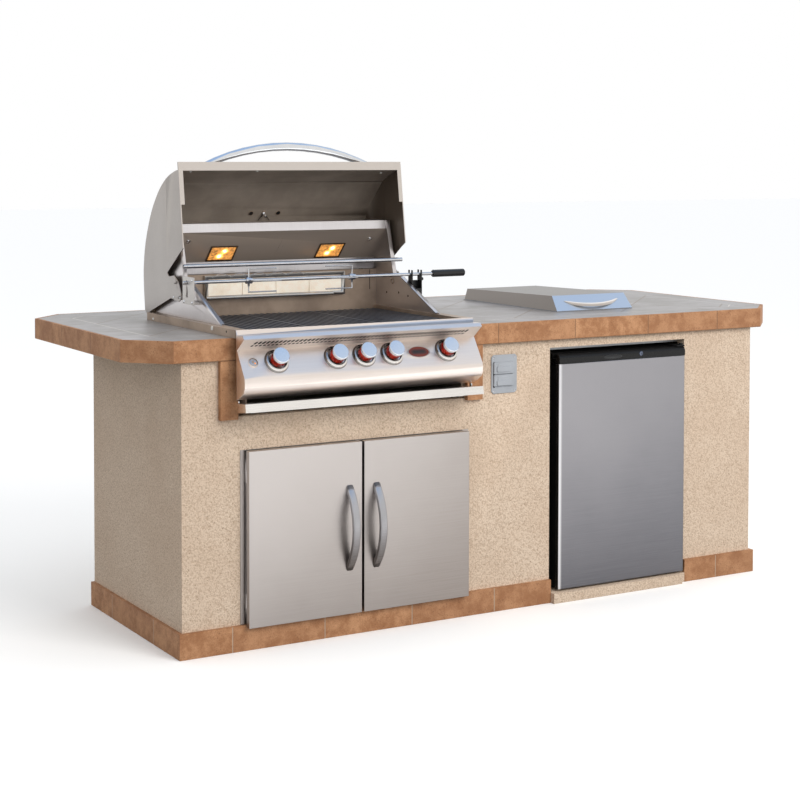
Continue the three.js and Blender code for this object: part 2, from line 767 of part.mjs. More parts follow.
function buildDoors() {
  const seamLeft = doorPairCentre - doorSeam / 2;
  const seamRight = doorPairCentre + doorSeam / 2;
  const handle = (x) => placed(
    bowedHandle(doorHandleSpan, doorHandleRise, doorHandleThickness, doorHandleWidth),
    axisZ, axisY.clone().negate(), x, doorFaceY - fitGap, doorHandleHeight);
  addMesh(island, 'door_left', doorPan(doorPairLeft, seamLeft), finishes.steel());
  addMesh(island, 'door_right', doorPan(seamRight, doorPairRight), finishes.steel());
  addMesh(island, 'door_handle_left', handle(doorPairCentre - doorHandleOffset), finishes.chrome());
  addMesh(island, 'door_handle_right', handle(doorPairCentre + doorHandleOffset), finishes.chrome());
}

const fridgeBottom = platformHeight + fitGap;
const fridgeBack = frameBack - fridgeRearGap;
const cavityLeft = fridgeLeft + fridgeWall;
const cavityRight = fridgeRight - fridgeWall;
const cavityBack = fridgeBack - fridgeWall;
const cavityBottom = fridgeBottom + fridgeWall;

function buildFridgeCabinet() {
  const body = slab(fridgeLeft, fridgeRight, fridgeFront, fridgeBack, fridgeBottom, fridgeTop);
  const cavity = slab(cavityLeft, cavityRight, fridgeFront - cutOverrun, cavityBack,
    cavityBottom, fridgeTop - fridgeWall);
  const rib = (x) => slab(x, x + shelfBar, fridgeFront + fridgeWall, cavityBack + fitGap,
    shelfHeight - shelfBar, shelfHeight - fitGap);
  const hingeX = fridgeDoorRight - fridgeHingeInset;
  const pinY = fridgeDoorFace + fridgeHingeInset - fridgeHingeThickness / 4;
  const hinge = slab(hingeX - 3 * fridgePinRadius, fridgeDoorRight, pinY - fridgePinRadius,
    fridgeFront + fridgeWall, fridgeTop + fitGap, fridgeTop + fitGap + fridgeHingeThickness);
  const foot = slab(hingeX - 3 * fridgePinRadius, fridgeDoorRight, fridgeFront + fitGap,
    fridgeFront + fridgeWall, fridgeTop - cutOverrun, fridgeTop + fridgeHingeThickness);
  const pinBottom = fridgeTop + fitGap + fridgeHingeThickness / 2;
  const pin = bar([hingeX, pinY, pinBottom], [hingeX, pinY, pinBottom + fridgePinHeight], fridgePinRadius);
  const cabinet = join(cut(body, cavity), rib(cavityLeft - fitGap), rib(cavityRight - shelfBar + fitGap),
    hinge, foot, pin);
  addMesh(island, 'fridge_cabinet', cabinet, finishes.black());
}

// Refrigerator door: bowed steel skin, inner liner with its gasket, and the black cap with a finger pocket
function buildFridgeDoor() {
  const bow = arcPoints(fridgeDoorRight - fridgeDoorLeft, fridgeDoorBow, 12);
  const middle = (fridgeDoorLeft + fridgeDoorRight) / 2;
  const faceEdge = fridgeDoorFace + fridgeDoorBow;
  const skinBack = fridgeDoorFace + fridgeSkinDepth;
  const skin = extrudeUp([...bow.map(([x, out]) => [middle + x, faceEdge - out]),
    [fridgeDoorRight, skinBack], [fridgeDoorLeft, skinBack]], fridgeDoorBottom, fridgeDoorTop);
  const linerFront = skinBack + fitGap;
  const linerBack = linerFront + fridgeLinerDepth;
  const linerLeftX = fridgeDoorLeft + fridgeLinerInset;
  const linerRightX = fridgeDoorRight - fridgeLinerInset;
  const liner = cut(
    slab(linerLeftX, linerRightX, linerFront, linerBack, fridgeDoorBottom + fridgeLinerInset,
      fridgeDoorTop - fridgeLinerInset),
    slab(linerLeftX + 2 * fridgeWall, linerRightX - 2 * fridgeWall, linerBack - fridgeGripDepth,
      linerBack + cutOverrun, fridgeDoorBottom + 3 * fridgeWall, fridgeDoorTop - 3 * fridgeWall));
  const capBottom = fridgeDoorTop + fitGap;
  const capFront = fridgeDoorFace;
  const capBack = capFront + fridgeCapDepth;
  const round = fridgeCapRound;
  const gripFront = capFront + 2 * round;
  const gripFloor = fridgeTop - fridgeGripDepth;
  const cap = extrudeAlongX([[capFront, capBottom], [capBack, capBottom], [capBack, fridgeTop],
    [gripFront + fridgeGripWidth, fridgeTop], [gripFront + fridgeGripWidth, gripFloor],
    [gripFront, gripFloor], [gripFront, fridgeTop - round / 4], [gripFront - round / 4, fridgeTop],
    [capFront + round, fridgeTop], [capFront + round / 3, fridgeTop - round / 3],
    [capFront, fridgeTop - round]], fridgeDoorLeft, fridgeDoorRight);
  addMesh(island, 'fridge_door', skin, finishes.steel());
  addMesh(island, 'fridge_door_liner', liner, finishes.whiteLiner());
  addMesh(island, 'fridge_door_cap', cap, finishes.black());
}

function buildShelf() {
  const [left, right] = [cavityLeft + shelfClearance, cavityRight - shelfClearance];
  const [front, back] = [fridgeFront + fridgeWall, cavityBack - shelfClearance];
  const top = shelfHeight + shelfBar;
  const edges = [slab(left, right, front, front + shelfBar, shelfHeight, top),
    slab(left, right, back - shelfBar, back, shelfHeight, top)];
  const pitch = (right - left - shelfBar) / (shelfBars - 1);
  const bars = Array.from({ length: shelfBars }, (_, i) =>
    slab(left + i * pitch, left + i * pitch + shelfBar, front, back, shelfHeight, top));
  addMesh(island, 'fridge_shelf', join(...edges, ...bars), finishes.galvanised());
}

const lidHingeX = outletCentreX + outletLidShift - outletLidWidth / 2;
const lidCentreZ = (side) => outletCentreZ + (side * outletLidSpacing) / 2;

function buildOutlet() {
  const back = -fitGap;
  const front = back - outletPlateThickness;
  const [w, h, c] = [outletWidth / 2, outletHeight / 2, outletCorner];
  const outline = [[-w, c - h], [c - w, -h], [w - c, -h], [w, c - h], [w, h - c], [w - c, h], [c - w, h],
    [-w, h - c]].map(([x, z]) => [x + outletCentreX, z + outletCentreZ]);
  const window = (side, grow) => slab(
    lidHingeX + outletWindowInset - grow, lidHingeX + outletLidWidth - outletWindowInset + grow,
    front - cutOverrun, back + cutOverrun,
    lidCentreZ(side) - outletLidHeight / 2 + outletWindowInset - grow,
    lidCentreZ(side) + outletLidHeight / 2 - outletWindowInset + grow);
  const plate = cut(extrudeAlongY(outline, front, back), window(1, fitGap), window(-1, fitGap));
  const box = slab(outletCentreX - outletBoxWidth / 2, outletCentreX + outletBoxWidth / 2, fitGap,
    outletBoxDepth, outletCentreZ - outletBoxHeight / 2, outletCentreZ + outletBoxHeight / 2);
  const sockets = join(window(1, 0), window(-1, 0)).intersect(
    slab(lidHingeX, lidHingeX + outletLidWidth, front + fitGap, cutOverrun,
      outletCentreZ - h, outletCentreZ + h));
  addMesh(island, 'outlet_plate', plate, finishes.greyPlastic());
  addMesh(island, 'outlet_receptacle', join(box, sockets), finishes.greyPlastic());
  const lidBack = front - fitGap;
  for (const [name, side] of [['outlet_lid_upper', 1], ['outlet_lid_lower', -1]]) {
    const z = lidCentreZ(side);
    const [z0, z1] = [z - outletLidHeight / 2, z + outletLidHeight / 2];
    const lid = slab(lidHingeX, lidHingeX + outletLidWidth, lidBack - outletLidThickness, lidBack, z0, z1);
    const raised = slab(lidHingeX + 2 * outletWindowInset, lidHingeX + outletLidWidth - 2 * outletWindowInset,
      lidBack - outletLidThickness - outletPinRadius / 2, lidBack, z0 + outletWindowInset,
      z1 - outletWindowInset);
    const barrel = bar([lidHingeX, lidBack - outletPinRadius, z0], [lidHingeX, lidBack - outletPinRadius, z1],
      outletPinRadius, 12);
    addMesh(island, name, join(lid, raised, barrel), finishes.greyPlastic());
  }
}

// Eight-cornered block whose top is set in from its base and can slope from front to rear
function taperedBlock(base, top, z0, zFront, zRear) {
  const corners = ([x0, x1, y0, y1], front, rear) =>
    [[x0, y0, front], [x1, y0, front], [x1, y1, rear], [x0, y1, rear]];
  const points = [...corners(base, z0, z0), ...corners(top, zFront, zRear)];
  const faces = [0, 2, 1, 0, 3, 2, 4, 5, 6, 4, 6, 7, 0, 1, 5, 0, 5, 4, 1, 2, 6, 1, 6, 5, 2, 3, 7, 2, 7, 6,
    3, 0, 4, 3, 4, 7];
  const geometry = new THREE.BufferGeometry();
  geometry.setAttribute('position', new THREE.Float32BufferAttribute(points.flat(), 3));
  geometry.setIndex(faces);
  return solid(geometry);
}

const burnerFlangeTop = counterHeight + fitGap + burnerFlangeThickness;
const burnerLidBottom = burnerFlangeTop + burnerLidLift;
const burnerHingeY = burnerBack + burnerHingeRadius + burnerHingeGap;
const burnerHingeZ = burnerLidBottom + burnerHingeRadius;

function buildSideBurnerPan() {
  const flangeBottom = counterHeight + fitGap;
  const panLeft = burnerLeft + burnerPanInset;
  const panRight = burnerRight - burnerPanInset;
  const panFront = burnerFront + burnerPanInset;
  const panBack = burnerBack - burnerPanInset;
  const floor = burnerFlangeTop - burnerPanDepth;
  const wall = burnerPanWall;
  const flange = slab(burnerLeft, burnerRight, burnerFront, burnerHingeY + burnerHingeRadius,
    flangeBottom, burnerFlangeTop);
  const outer = slab(panLeft, panRight, panFront, panBack, floor, burnerFlangeTop);
  const inner = slab(panLeft + wall, panRight - wall, panFront + wall, panBack - wall,
    floor + wall, burnerFlangeTop + cutOverrun);
  const ledgeTop = counterHeight - burnerGrateHeight - fitGap;
  const ledge = (x) => slab(x, x + burnerGrateBar, panFront + wall / 2, panBack - wall / 2,
    ledgeTop - burnerGrateBar, ledgeTop);
  const hinge = (x) => join(
    bar([x, burnerHingeY, burnerHingeZ], [x + burnerHingeLength, burnerHingeY, burnerHingeZ],
      burnerHingeRadius, 12),
    slab(x, x + burnerHingeLength, burnerHingeY - burnerHingeRadius / 2, burnerHingeY + burnerHingeRadius,
      flangeBottom, burnerHingeZ));
  const hingeInset = burnerHingeLength / 2;
  const pan = join(cut(join(flange, outer), inner), ledge(panLeft + wall / 2),
    ledge(panRight - wall / 2 - burnerGrateBar), hinge(burnerLeft + hingeInset),
    hinge(burnerRight - hingeInset - burnerHingeLength));
  addMesh(island, 'side_burner_pan', pan, finishes.steel());

  const headZ = floor + wall + fitGap;
  const middleX = (panLeft + panRight) / 2;
  const middleY = (panFront + panBack) / 2;
  const headOutline = burnerHeadShares.map(([out, up]) => [out * burnerHeadRadius, up * burnerHeadHeight]);
  const head = (y) => turned(headOutline, 24).translate([middleX, y, headZ]);
  const feed = slab(middleX - burnerGrateBar, middleX + burnerGrateBar, middleY - burnerHeadSpread / 2,
    middleY + burnerHeadSpread / 2, headZ, headZ + burnerHeadClearance);
  addMesh(island, 'side_burner_head',
    join(head(middleY - burnerHeadSpread / 2), head(middleY + burnerHeadSpread / 2), feed),
    finishes.castIron());

  const edge = wall + fitGap;
  const [gx0, gx1, gy0, gy1] = [panLeft + edge, panRight - edge, panFront + edge, panBack - edge];
  const [gz0, gz1] = [ledgeTop + fitGap, counterHeight];
  const rails = [slab(gx0, gx0 + burnerGrateBar, gy0, gy1, gz0, gz1),
    slab(gx1 - burnerGrateBar, gx1, gy0, gy1, gz0, gz1),
    slab(middleX - burnerGrateBar / 2, middleX + burnerGrateBar / 2, gy0, gy1, gz0, gz1)];
  const pitch = (gy1 - gy0 - burnerGrateBar) / (burnerGrateCrossBars - 1);
  const crossBars = Array.from({ length: burnerGrateCrossBars }, (_, i) =>
    slab(gx0, gx1, gy0 + i * pitch, gy0 + i * pitch + burnerGrateBar, gz0, gz1));
  addMesh(island, 'side_burner_grate', join(...rails, ...crossBars), finishes.castIron());
}

// Side burner cover with a sloping front and a bowed handle
function buildSideBurnerLid() {
  const base = [burnerLeft, burnerRight, burnerFront, burnerBack];
  const side = burnerLidSideInset;
  const top = [burnerLeft + side, burnerRight - side, burnerFront + burnerLidFrontInset, burnerBack - side];
  const sheet = burnerLidSheet;
  const shrink = ([x0, x1, y0, y1]) => [x0 + sheet, x1 - sheet, y0 + sheet, y1 - sheet];
  const z0 = burnerLidBottom;
  const [zFront, zRear] = [z0 + burnerLidFrontHeight, z0 + burnerLidRearHeight];
  const inner = taperedBlock(shrink(base), shrink(top), z0 - fitGap, zFront - sheet, zRear - sheet);
  const shell = cut(taperedBlock(base, top, z0, zFront, zRear), inner);
  const tilt = burnerHandleTilt * degrees;
  const bow = new THREE.Vector3(0, -Math.cos(tilt), -Math.sin(tilt));
  const middleY = burnerFront + burnerLidFrontInset / 2;
  const middleZ = (z0 + zFront) / 2;
  const handle = placed(
    bowedHandle(burnerHandleSpan, burnerHandleRise, burnerHandleThickness, burnerHandleWidth),
    axisX, bow, (burnerLeft + burnerRight) / 2,
    middleY - burnerHandleSink * bow.y, middleZ - burnerHandleSink * bow.z);
  addMesh(island, 'side_burner_lid', join(shell, cut(handle, inner)), finishes.steel());
}

function buildFirebox() {
  const [x0, x1, y0, y1] = [fireboxLeft, fireboxRight, fireboxFront, fireboxBack];
  const wall = fireboxWall;
  const shell = cut(
    slab(x0, x1, y0, y1, fireboxBottom, rimTop),
    slab(x0 + wall, x1 - wall, y0 + wall, y1 - wall, fireboxBottom + wall, rimTop + cutOverrun),
    slab(grillCentre - greaseHoleWidth / 2, grillCentre + greaseHoleWidth / 2,
      chamberBack / 2 - greaseHoleDepth / 2, chamberBack / 2 + greaseHoleDepth / 2,
      fireboxBottom - cutOverrun, fireboxBottom + cutOverrun));
  const sideRim = (x) => slab(x, x + rimWidth, y0, rimBack, rimBottom, rimTop);
  const rearRim = slab(rimLeft, rimRight, y1 - wall, rimBack, rimBottom, rimTop);
  const backWall = join(
    slab(x0 + wall / 2, x1 - wall / 2, chamberBack, chamberBack + wall, fireboxBottom + wall / 2, rimTop),
    slab(shieldLeft + shieldSheet + fitGap, shieldRight - shieldSheet - fitGap, chamberBack,
      chamberBack + wall, rimTop - fitGap, housingBottomZ - fitGap));
  const ledge = (top) => join(
    slab(x0 + wall / 2, x1 - wall / 2, y0 + wall / 2, y0 + wall + ledgeDepth, top - ledgeThickness, top),
    slab(x0 + wall / 2, x1 - wall / 2, chamberBack - ledgeDepth, chamberBack + wall / 2,
      top - ledgeThickness, top));
  const runner = (x, lipX) => join(
    slab(x, x + runnerThickness, y0 + wall, trayPanDepth, runnerBottom, fireboxBottom + wall / 2),
    slab(lipX, lipX + runnerWidth, y0 + wall, trayPanDepth, runnerBottom, runnerBottom + runnerThickness));
  const firebox = join(shell, sideRim(rimLeft), sideRim(rimRight - rimWidth), rearRim, backWall,
    ledge(grateTop - grateThickness - fitGap), ledge(tamerHeight - fitGap),
    runner(x0, x0 + runnerThickness / 2), runner(x1 - runnerThickness, x1 - runnerThickness / 2 - runnerWidth));
  addMesh(island, 'grill_firebox', firebox, finishes.darkSteel());
}

const panelAt = (shares) => atShares(shares, panelFront, panelDepth, panelBottom, panelHeight);
const [faceTop] = panelAt([panelFaceTopShares]);
const [faceBottom] = panelAt([panelFaceBottomShares]);
const panelPath = [...panelAt(panelTopShares), faceTop, faceBottom, ...panelAt(panelNoseShares)];
const faceCentre = [0, 1].map((i) => faceTop[i] + faceCentreShare * (faceBottom[i] - faceTop[i]));
const faceAngle = Math.atan2(faceTop[1] - faceBottom[1], faceTop[0] - faceBottom[0]);
const panelLeft = grillCentre - panelWidth / 2;
const panelRight = grillCentre + panelWidth / 2;

// Shape built on the panel's face, moved from its own frame, whose Z stands out of the face
function onFace(shape, x) {
  const matrix = new THREE.Matrix4().makeRotationX(faceAngle);
  matrix.setPosition(grillCentre + x, faceCentre[0], faceCentre[1]);
  return shape.transform(matrix.elements);
}

function buildPanel() {
  const sheet = extrudeAlongX(sheetOutline(panelPath, panelSheet), panelLeft, panelRight);
  const cheek = (x) => extrudeAlongX(panelPath, x, x + panelSheet);
  const sink = panelSheet / 2;
  const ringPoints = (inner, outer, height) => [[inner, -sink], [outer, -sink],
    ...ringShares.map(([out, up]) => [inner + out * (outer - inner), up * height]), [inner, -sink]];
  const ring = (inner, outer, height) => turned(ringPoints(inner, outer, height), 24);
  const bezels = knobPositions.map((x) => onFace(ring(bezelInnerRadius, bezelRadius, bezelHeight), x));
  const buttonRing = onFace(ring(buttonRadius + buttonFitGap, buttonRingRadius, buttonProud), buttonPosition);
  const oval = Array.from({ length: badgeSides }, (_, i) => {
    const angle = (i / badgeSides) * 2 * Math.PI;
    return [(badgeWidth / 2) * Math.cos(angle), (badgeHeight / 2) * Math.sin(angle)];
  });
  const badge = onFace(extrudeUp(oval, -sink, badgeThickness), badgePosition);
  const hole = (radius) => bar([0, 0, -panelSheet - cutOverrun], [0, 0, cutOverrun], radius, 16);
  const stemHoles = knobPositions.map((x) => onFace(hole(knobStemRadius + knobStemClearance), x));
  const panel = cut(join(sheet, cheek(panelLeft), cheek(panelRight - panelSheet), ...bezels, buttonRing, badge),
    ...stemHoles, onFace(hole(buttonRadius + buttonFitGap), buttonPosition));
  addMesh(island, 'control_panel', panel, finishes.steel());
}

// Gas pipe behind the panel, with a valve body behind each knob and a bracket to the firebox at each end
function buildManifold() {
  const inset = panelSheet + fitGap;
  const pipe = onFace(bar([panelLeft - grillCentre + inset, 0, -manifoldDepth],
    [panelRight - grillCentre - inset, 0, -manifoldDepth], manifoldRadius, 14), 0);
  const valves = knobPositions.map((x) =>
    onFace(bar([0, 0, -manifoldDepth], [0, 0, -panelSheet - fitGap], valveRadius, 14), x));
  const pipeY = faceCentre[0] + manifoldDepth * Math.sin(faceAngle);
  const pipeZ = faceCentre[1] - manifoldDepth * Math.cos(faceAngle);
  const bracket = (x) => slab(x, x + 4 * manifoldBracketDepth, pipeY, fireboxFront - fitGap,
    pipeZ - manifoldBracketDepth, pipeZ + manifoldBracketDepth);
  addMesh(island, 'gas_manifold', join(pipe, ...valves, bracket(fireboxLeft + manifoldRadius),
    bracket(fireboxRight - manifoldRadius - 4 * manifoldBracketDepth)), finishes.galvanised());
}

// Knob with a red body, a polished cap and a stem through the panel to its valve
function buildKnobs() {
  const capBase = knobHeight - knobCapHeight;
  const stemEnd = -panelSheet;
  const knobPoints = [[0, stemEnd], [knobStemRadius, stemEnd], [knobStemRadius, knobStandoff],
    [knobBodyRadius, knobStandoff], [knobBodyRadius, capBase], [knobCapRadius, capBase + 1.5 * knobStandoff],
    [knobCapRadius, knobHeight - knobStandoff], [knobCapRadius - knobStandoff, knobHeight],
    [0, knobHeight + knobStandoff / 2]];
  knobPositions.forEach((x, i) => {
    const group = turnedGroup(grillCentre + x, faceCentre[0], faceCentre[1], faceAngle);
    addMesh(group, `knob_${i + 1}`, turned(knobPoints, knobSides), finishes.chrome());
  });
  const group = turnedGroup(grillCentre + buttonPosition, faceCentre[0], faceCentre[1], faceAngle);
  const button = turned([[0, -buttonStemLength], [knobStemRadius, -buttonStemLength],
    [knobStemRadius, -buttonTravel], [buttonRadius, -buttonTravel],
    ...buttonShares.map(([out, up]) => [out * buttonRadius, up * buttonProud])], 24);
  addMesh(group, 'light_button', button, finishes.steel());
}

function buildTray() {
  const path = atShares(trayBarShares, trayBarFront, trayBarDepth, trayBarBottom, trayBarHeight);
  const bar = extrudeAlongX(sheetOutline(path, traySheet), panelLeft, panelRight);
  const cheek = (x) => extrudeAlongX(path, x, x + traySheet);
  const pan = slab(trayPanInset, 2 * grillCentre - trayPanInset, trayBarFront + trayBarDepth - 2 * traySheet,
    trayPanDepth, runnerBottom + runnerThickness + fitGap,
    runnerBottom + runnerThickness + fitGap + trayPanHeight);
  const hollow = slab(trayPanInset + traySheet, 2 * grillCentre - trayPanInset - traySheet,
    trayBarFront + trayBarDepth, trayPanDepth - traySheet,
    runnerBottom + runnerThickness + fitGap + traySheet, fireboxBottom);
  addMesh(island, 'drip_tray', join(bar, cheek(panelLeft), cheek(panelRight - traySheet), cut(pan, hollow)),
    finishes.steel());
}

const hoodAngle = -hoodOpenAngle * degrees;
const hoodAt = (shares) => atShares(shares, -hingeBack, hoodSideDepth, -hingeUp, hoodSideHeight);

// Smooth front and top of the hood, from the lip up and over to the rear edge
function hoodSkinPath() {
  const corners = hoodAt(hoodSkinShares);
  const curve = new THREE.SplineCurve(corners.slice(1, -1).map(([a, b]) => new THREE.Vector2(a, b)));
  const points = curve.getPoints(hoodSkinSteps).map((point) => [point.x, point.y]);
  return [corners[0], ...points, corners[corners.length - 1]];
}

// The hood is drawn closed, about its hinge, and its group holds it open
function buildHood() {
  const group = turnedGroup(0, hingeY, hingeZ, hoodAngle);
  const path = hoodSkinPath();
  const skinOutline = sheetOutline([...path].reverse(), hoodSheet);
  const skin = extrudeAlongX(skinOutline, hoodLeft, hoodRight);
  const sideOutline = [...path, ...hoodAt(hoodRearShares)];
  const side = (x) => extrudeAlongX(sideOutline, x, x + hoodSheet);
  const [lipY, lipZ] = path[0];
  const lip = slab(hoodLeft, hoodRight, lipY - hoodLipDepth, lipY + hoodSheet, lipZ, lipZ + hoodLipThickness);
  const flangeIn = hoodSheet + hoodRimFlange;
  const flange = (x) => slab(x, x + flangeIn, lipY, lipY + hoodRimFlangeLength, lipZ, lipZ + hoodSheet);
  const boltPlaces = [[0, 0, hingeBoltRadius], [earBoltBack - hingeBack, earBoltUp - hingeUp, earBoltRadius]];
  const bolts = boltPlaces.flatMap(([y, z, radius]) => [
    bar([hoodLeft - boltHeight, y, z], [hoodLeft + hoodSheet / 2, y, z], radius, 12),
    bar([hoodRight - hoodSheet / 2, y, z], [hoodRight + boltHeight, y, z], radius, 12)]);
  const gauge = gaugeFrame(path);
  const stemHole = bar([0, 0, -thermometerStemLength], [0, 0, thermometerThickness],
    thermometerStemRadius + fitGap, 12).transform(gauge.elements);
  const hood = cut(join(skin, side(hoodLeft), side(hoodRight - hoodSheet), lip, flange(hoodLeft),
    flange(hoodRight - flangeIn), ...bolts), stemHole);
  addMesh(group, 'hood', hood, finishes.steel());

  const handleFoot = hoodHandleUp - hingeUp - hoodHandleWidth / 2 + hoodHandleThickness * handleRoundShare;
  const handleY = pathAt(path, handleFoot) - fitGap;
  const handle = placed(
    bowedHandle(hoodHandleSpan, hoodHandleRise, hoodHandleThickness, hoodHandleWidth),
    axisX, axisY.clone().negate(), grillCentre, handleY, hoodHandleUp - hingeUp);
  addMesh(group, 'hood_handle', handle, finishes.chrome());

  const caseOutline = thermometerShares.map(([out, up]) => [out * thermometerRadius, up * thermometerThickness]);
  const dial = turned([[0, -thermometerStemLength], [thermometerStemRadius, -thermometerStemLength],
    [thermometerStemRadius, thermometerSeat], [caseOutline[0][0], thermometerSeat], ...caseOutline], 28)
    .transform(gauge.elements);
  addMesh(group, 'thermometer', dial, finishes.chrome());
}

// First value of a rising path at a height
function pathAt(path, height) {
  const i = path.findIndex(([, z]) => z > height);
  const [a, b] = [path[i - 1], path[i]];
  return a[0] + ((b[0] - a[0]) * (height - a[1])) / (b[1] - a[1]);
}

// Frame of the thermometer on the hood's curve, whose Z stands out of the skin
function gaugeFrame(path) {
  const i = Math.round(thermometerShare * (path.length - 1));
  const [a, b] = [path[i], path[i + 1]];
  const angle = Math.atan2(b[1] - a[1], b[0] - a[0]);
  const matrix = new THREE.Matrix4().makeRotationX(angle);
  return matrix.setPosition(grillCentre, (a[0] + b[0]) / 2, (a[1] + b[1]) / 2);
}

const housingPath = [[housingBackY, housingBottomZ], [housingShoulderY, housingShoulderZ],
  [housingTopBackY, housingTopZ], [cheekTopY, housingTopZ], [cheekTopY, housingLipZ],
  [housingFaceBackY, housingFaceFootZ], [housingFaceBackY, housingBottomZ]];
const lampAngle = Math.PI + Math.atan2(housingFaceFootZ - housingLipZ, housingFaceBackY - cheekTopY);
const lampY = (cheekTopY + housingFaceBackY) / 2 - lampDrop * Math.cos(lampAngle);
const lampZ = (housingLipZ + housingFaceFootZ) / 2 - lampDrop * Math.sin(lampAngle);

// Housing behind the cooking space, and the shields that carry it, its hinge bosses and its flanges
function buildHousing() {
  const inside = [shieldLeft + shieldSheet / 2, shieldRight - shieldSheet / 2];
  const body = extrudeAlongX(sheetOutline(housingPath, housingSheet), ...inside);
  const foot = rimTop + fitGap;
  const shieldOutline = [[shieldToeY, foot], [housingBackY, foot], [housingBackY, housingBottomZ],
    [housingShoulderY, housingShoulderZ], [housingTopBackY, housingTopZ], [cheekTopY, housingTopZ],
    [cheekFootY, shieldKneeZ], [shieldKneeY, shieldKneeZ]];
  const shield = (x) => extrudeAlongX(shieldOutline, x, x + shieldSheet);
  const toe = 3 * shieldSheet;
  const toeRise = (toe * (shieldKneeZ - foot)) / (shieldKneeY - shieldToeY);
  const slopeFlange = sheetOutline([[shieldKneeY, shieldKneeZ], [shieldToeY + toe, foot + toeRise]],
    shieldSheet);
  const cheekFlange = sheetOutline([[cheekTopY, housingTopZ], [cheekFootY, shieldKneeZ]], shieldSheet);
  const flanges = (x) => join(extrudeAlongX(slopeFlange, x, x + shieldFlange),
    extrudeAlongX(cheekFlange, x, x + shieldFlange));
  const boss = (x0, x1) => bar([x0, hingeY, hingeZ], [x1, hingeY, hingeZ], hingeBossRadius, 16);
  const hole = slab(-lampWidth / 2 - lampFitGap, lampWidth / 2 + lampFitGap, -lampHeight / 2 - lampFitGap,
    lampHeight / 2 + lampFitGap, -lampDepth, lampDepth);
  const lampHoles = [-1, 1].map((side) => onHousing(hole, side));
  const housing = cut(join(body, shield(shieldLeft), shield(shieldRight - shieldSheet), flanges(shieldLeft),
    flanges(shieldRight - shieldFlange),
    boss(hoodLeft + hoodSheet + fitGap, shieldLeft + shieldSheet / 2),
    boss(shieldRight - shieldSheet / 2, hoodRight - hoodSheet - fitGap)), ...lampHoles);
  addMesh(island, 'rear_housing', housing, finishes.steel());
}

const lampX = (side) => grillCentre + lampShift + side * lampSpread;

function onHousing(shape, side) {
  const matrix = new THREE.Matrix4().makeRotationX(lampAngle);
  return shape.transform(matrix.setPosition(lampX(side), lampY, lampZ).elements);
}

// Each lamp is a box in the sloping panel, with a frame on the outside
function buildLamps() {
  for (const [name, side] of [['lamp_left', -1], ['lamp_right', 1]]) {
    const group = turnedGroup(lampX(side), lampY, lampZ, lampAngle);
    const [w, h] = [lampWidth / 2, lampHeight / 2];
    const box = slab(-w, w, -h, h, -lampDepth, lampFrameThickness);
    const frame = slab(-w - lampFrame, w + lampFrame, -h - lampFrame, h + lampFrame, fitGap,
      lampFrameThickness);
    const glassPocket = slab(lampFrame - w, w - lampFrame, lampFrame - h, h - lampFrame,
      lampFrameThickness / 2, lampFrameThickness + cutOverrun);
    addMesh(group, name, cut(join(box, frame), glassPocket), finishes.lampGlass());
  }
}

// Round rail across the cooking space, held by a lug on each cheek
function buildRail() {
  const left = hoodLeft + hoodSheet + railEndGap;
  const right = hoodRight - hoodSheet - railEndGap;
  const lugBottom = railZ - railRadius / 2;
  const cheekShare = (lugBottom - shieldKneeZ) / (housingTopZ - shieldKneeZ);
  const cheekY = cheekFootY + cheekShare * (cheekTopY - cheekFootY);
  const lug = (x) => slab(x, x + railLug, railY, cheekY - fitGap, lugBottom, railZ + railRadius / 2);
  const rail = join(bar([left, railY, railZ], [right, railY, railZ], railRadius, 14),
    lug(shieldLeft + shieldSheet), lug(shieldRight - shieldSheet - railLug));
  addMesh(island, 'upper_rail', rail, finishes.chrome());
}

// Ceramic rear burner in its frame, with a round tube clipped in front of it
function buildRearBurner() {
  const back = chamberBack - fitGap;
  const front = back - rearBurnerDepth;
  const top = rearBurnerBottom + rearBurnerHeight;
  const frame = slab(rearBurnerLeft, rearBurnerRight, front, back, rearBurnerBottom, top);
  const pocket = slab(rearBurnerLeft + rearBurnerFrame, rearBurnerRight - rearBurnerFrame,
    front - cutOverrun, front + rearBurnerRecess, rearBurnerBottom + rearBurnerFrame, top - rearBurnerFrame);
  const tubeY = front - rearTubeStandoff;
  const tubeZ = rearBurnerBottom + rearBurnerFrame / 2;
  const tubeRight = rearBurnerLeft + rearTubeRightShare * (rearBurnerRight - rearBurnerLeft);
  const tube = bar([rearBurnerLeft, tubeY, tubeZ], [tubeRight, tubeY, tubeZ], rearTubeRadius, 14);
  const pitch = (tubeRight - rearBurnerLeft) / rearTubeClips;
  const clips = Array.from({ length: rearTubeClips }, (_, i) => {
    const x = rearBurnerLeft + (i + 0.5) * pitch;
    return slab(x, x + rearTubeClipWidth, tubeY, front + rearBurnerRecess / 2,
      tubeZ - rearTubeRadius / 2, tubeZ + rearTubeRadius / 2);
  });
  addMesh(island, 'rear_burner', join(cut(frame, pocket), tube, ...clips), finishes.whiteLiner());
}

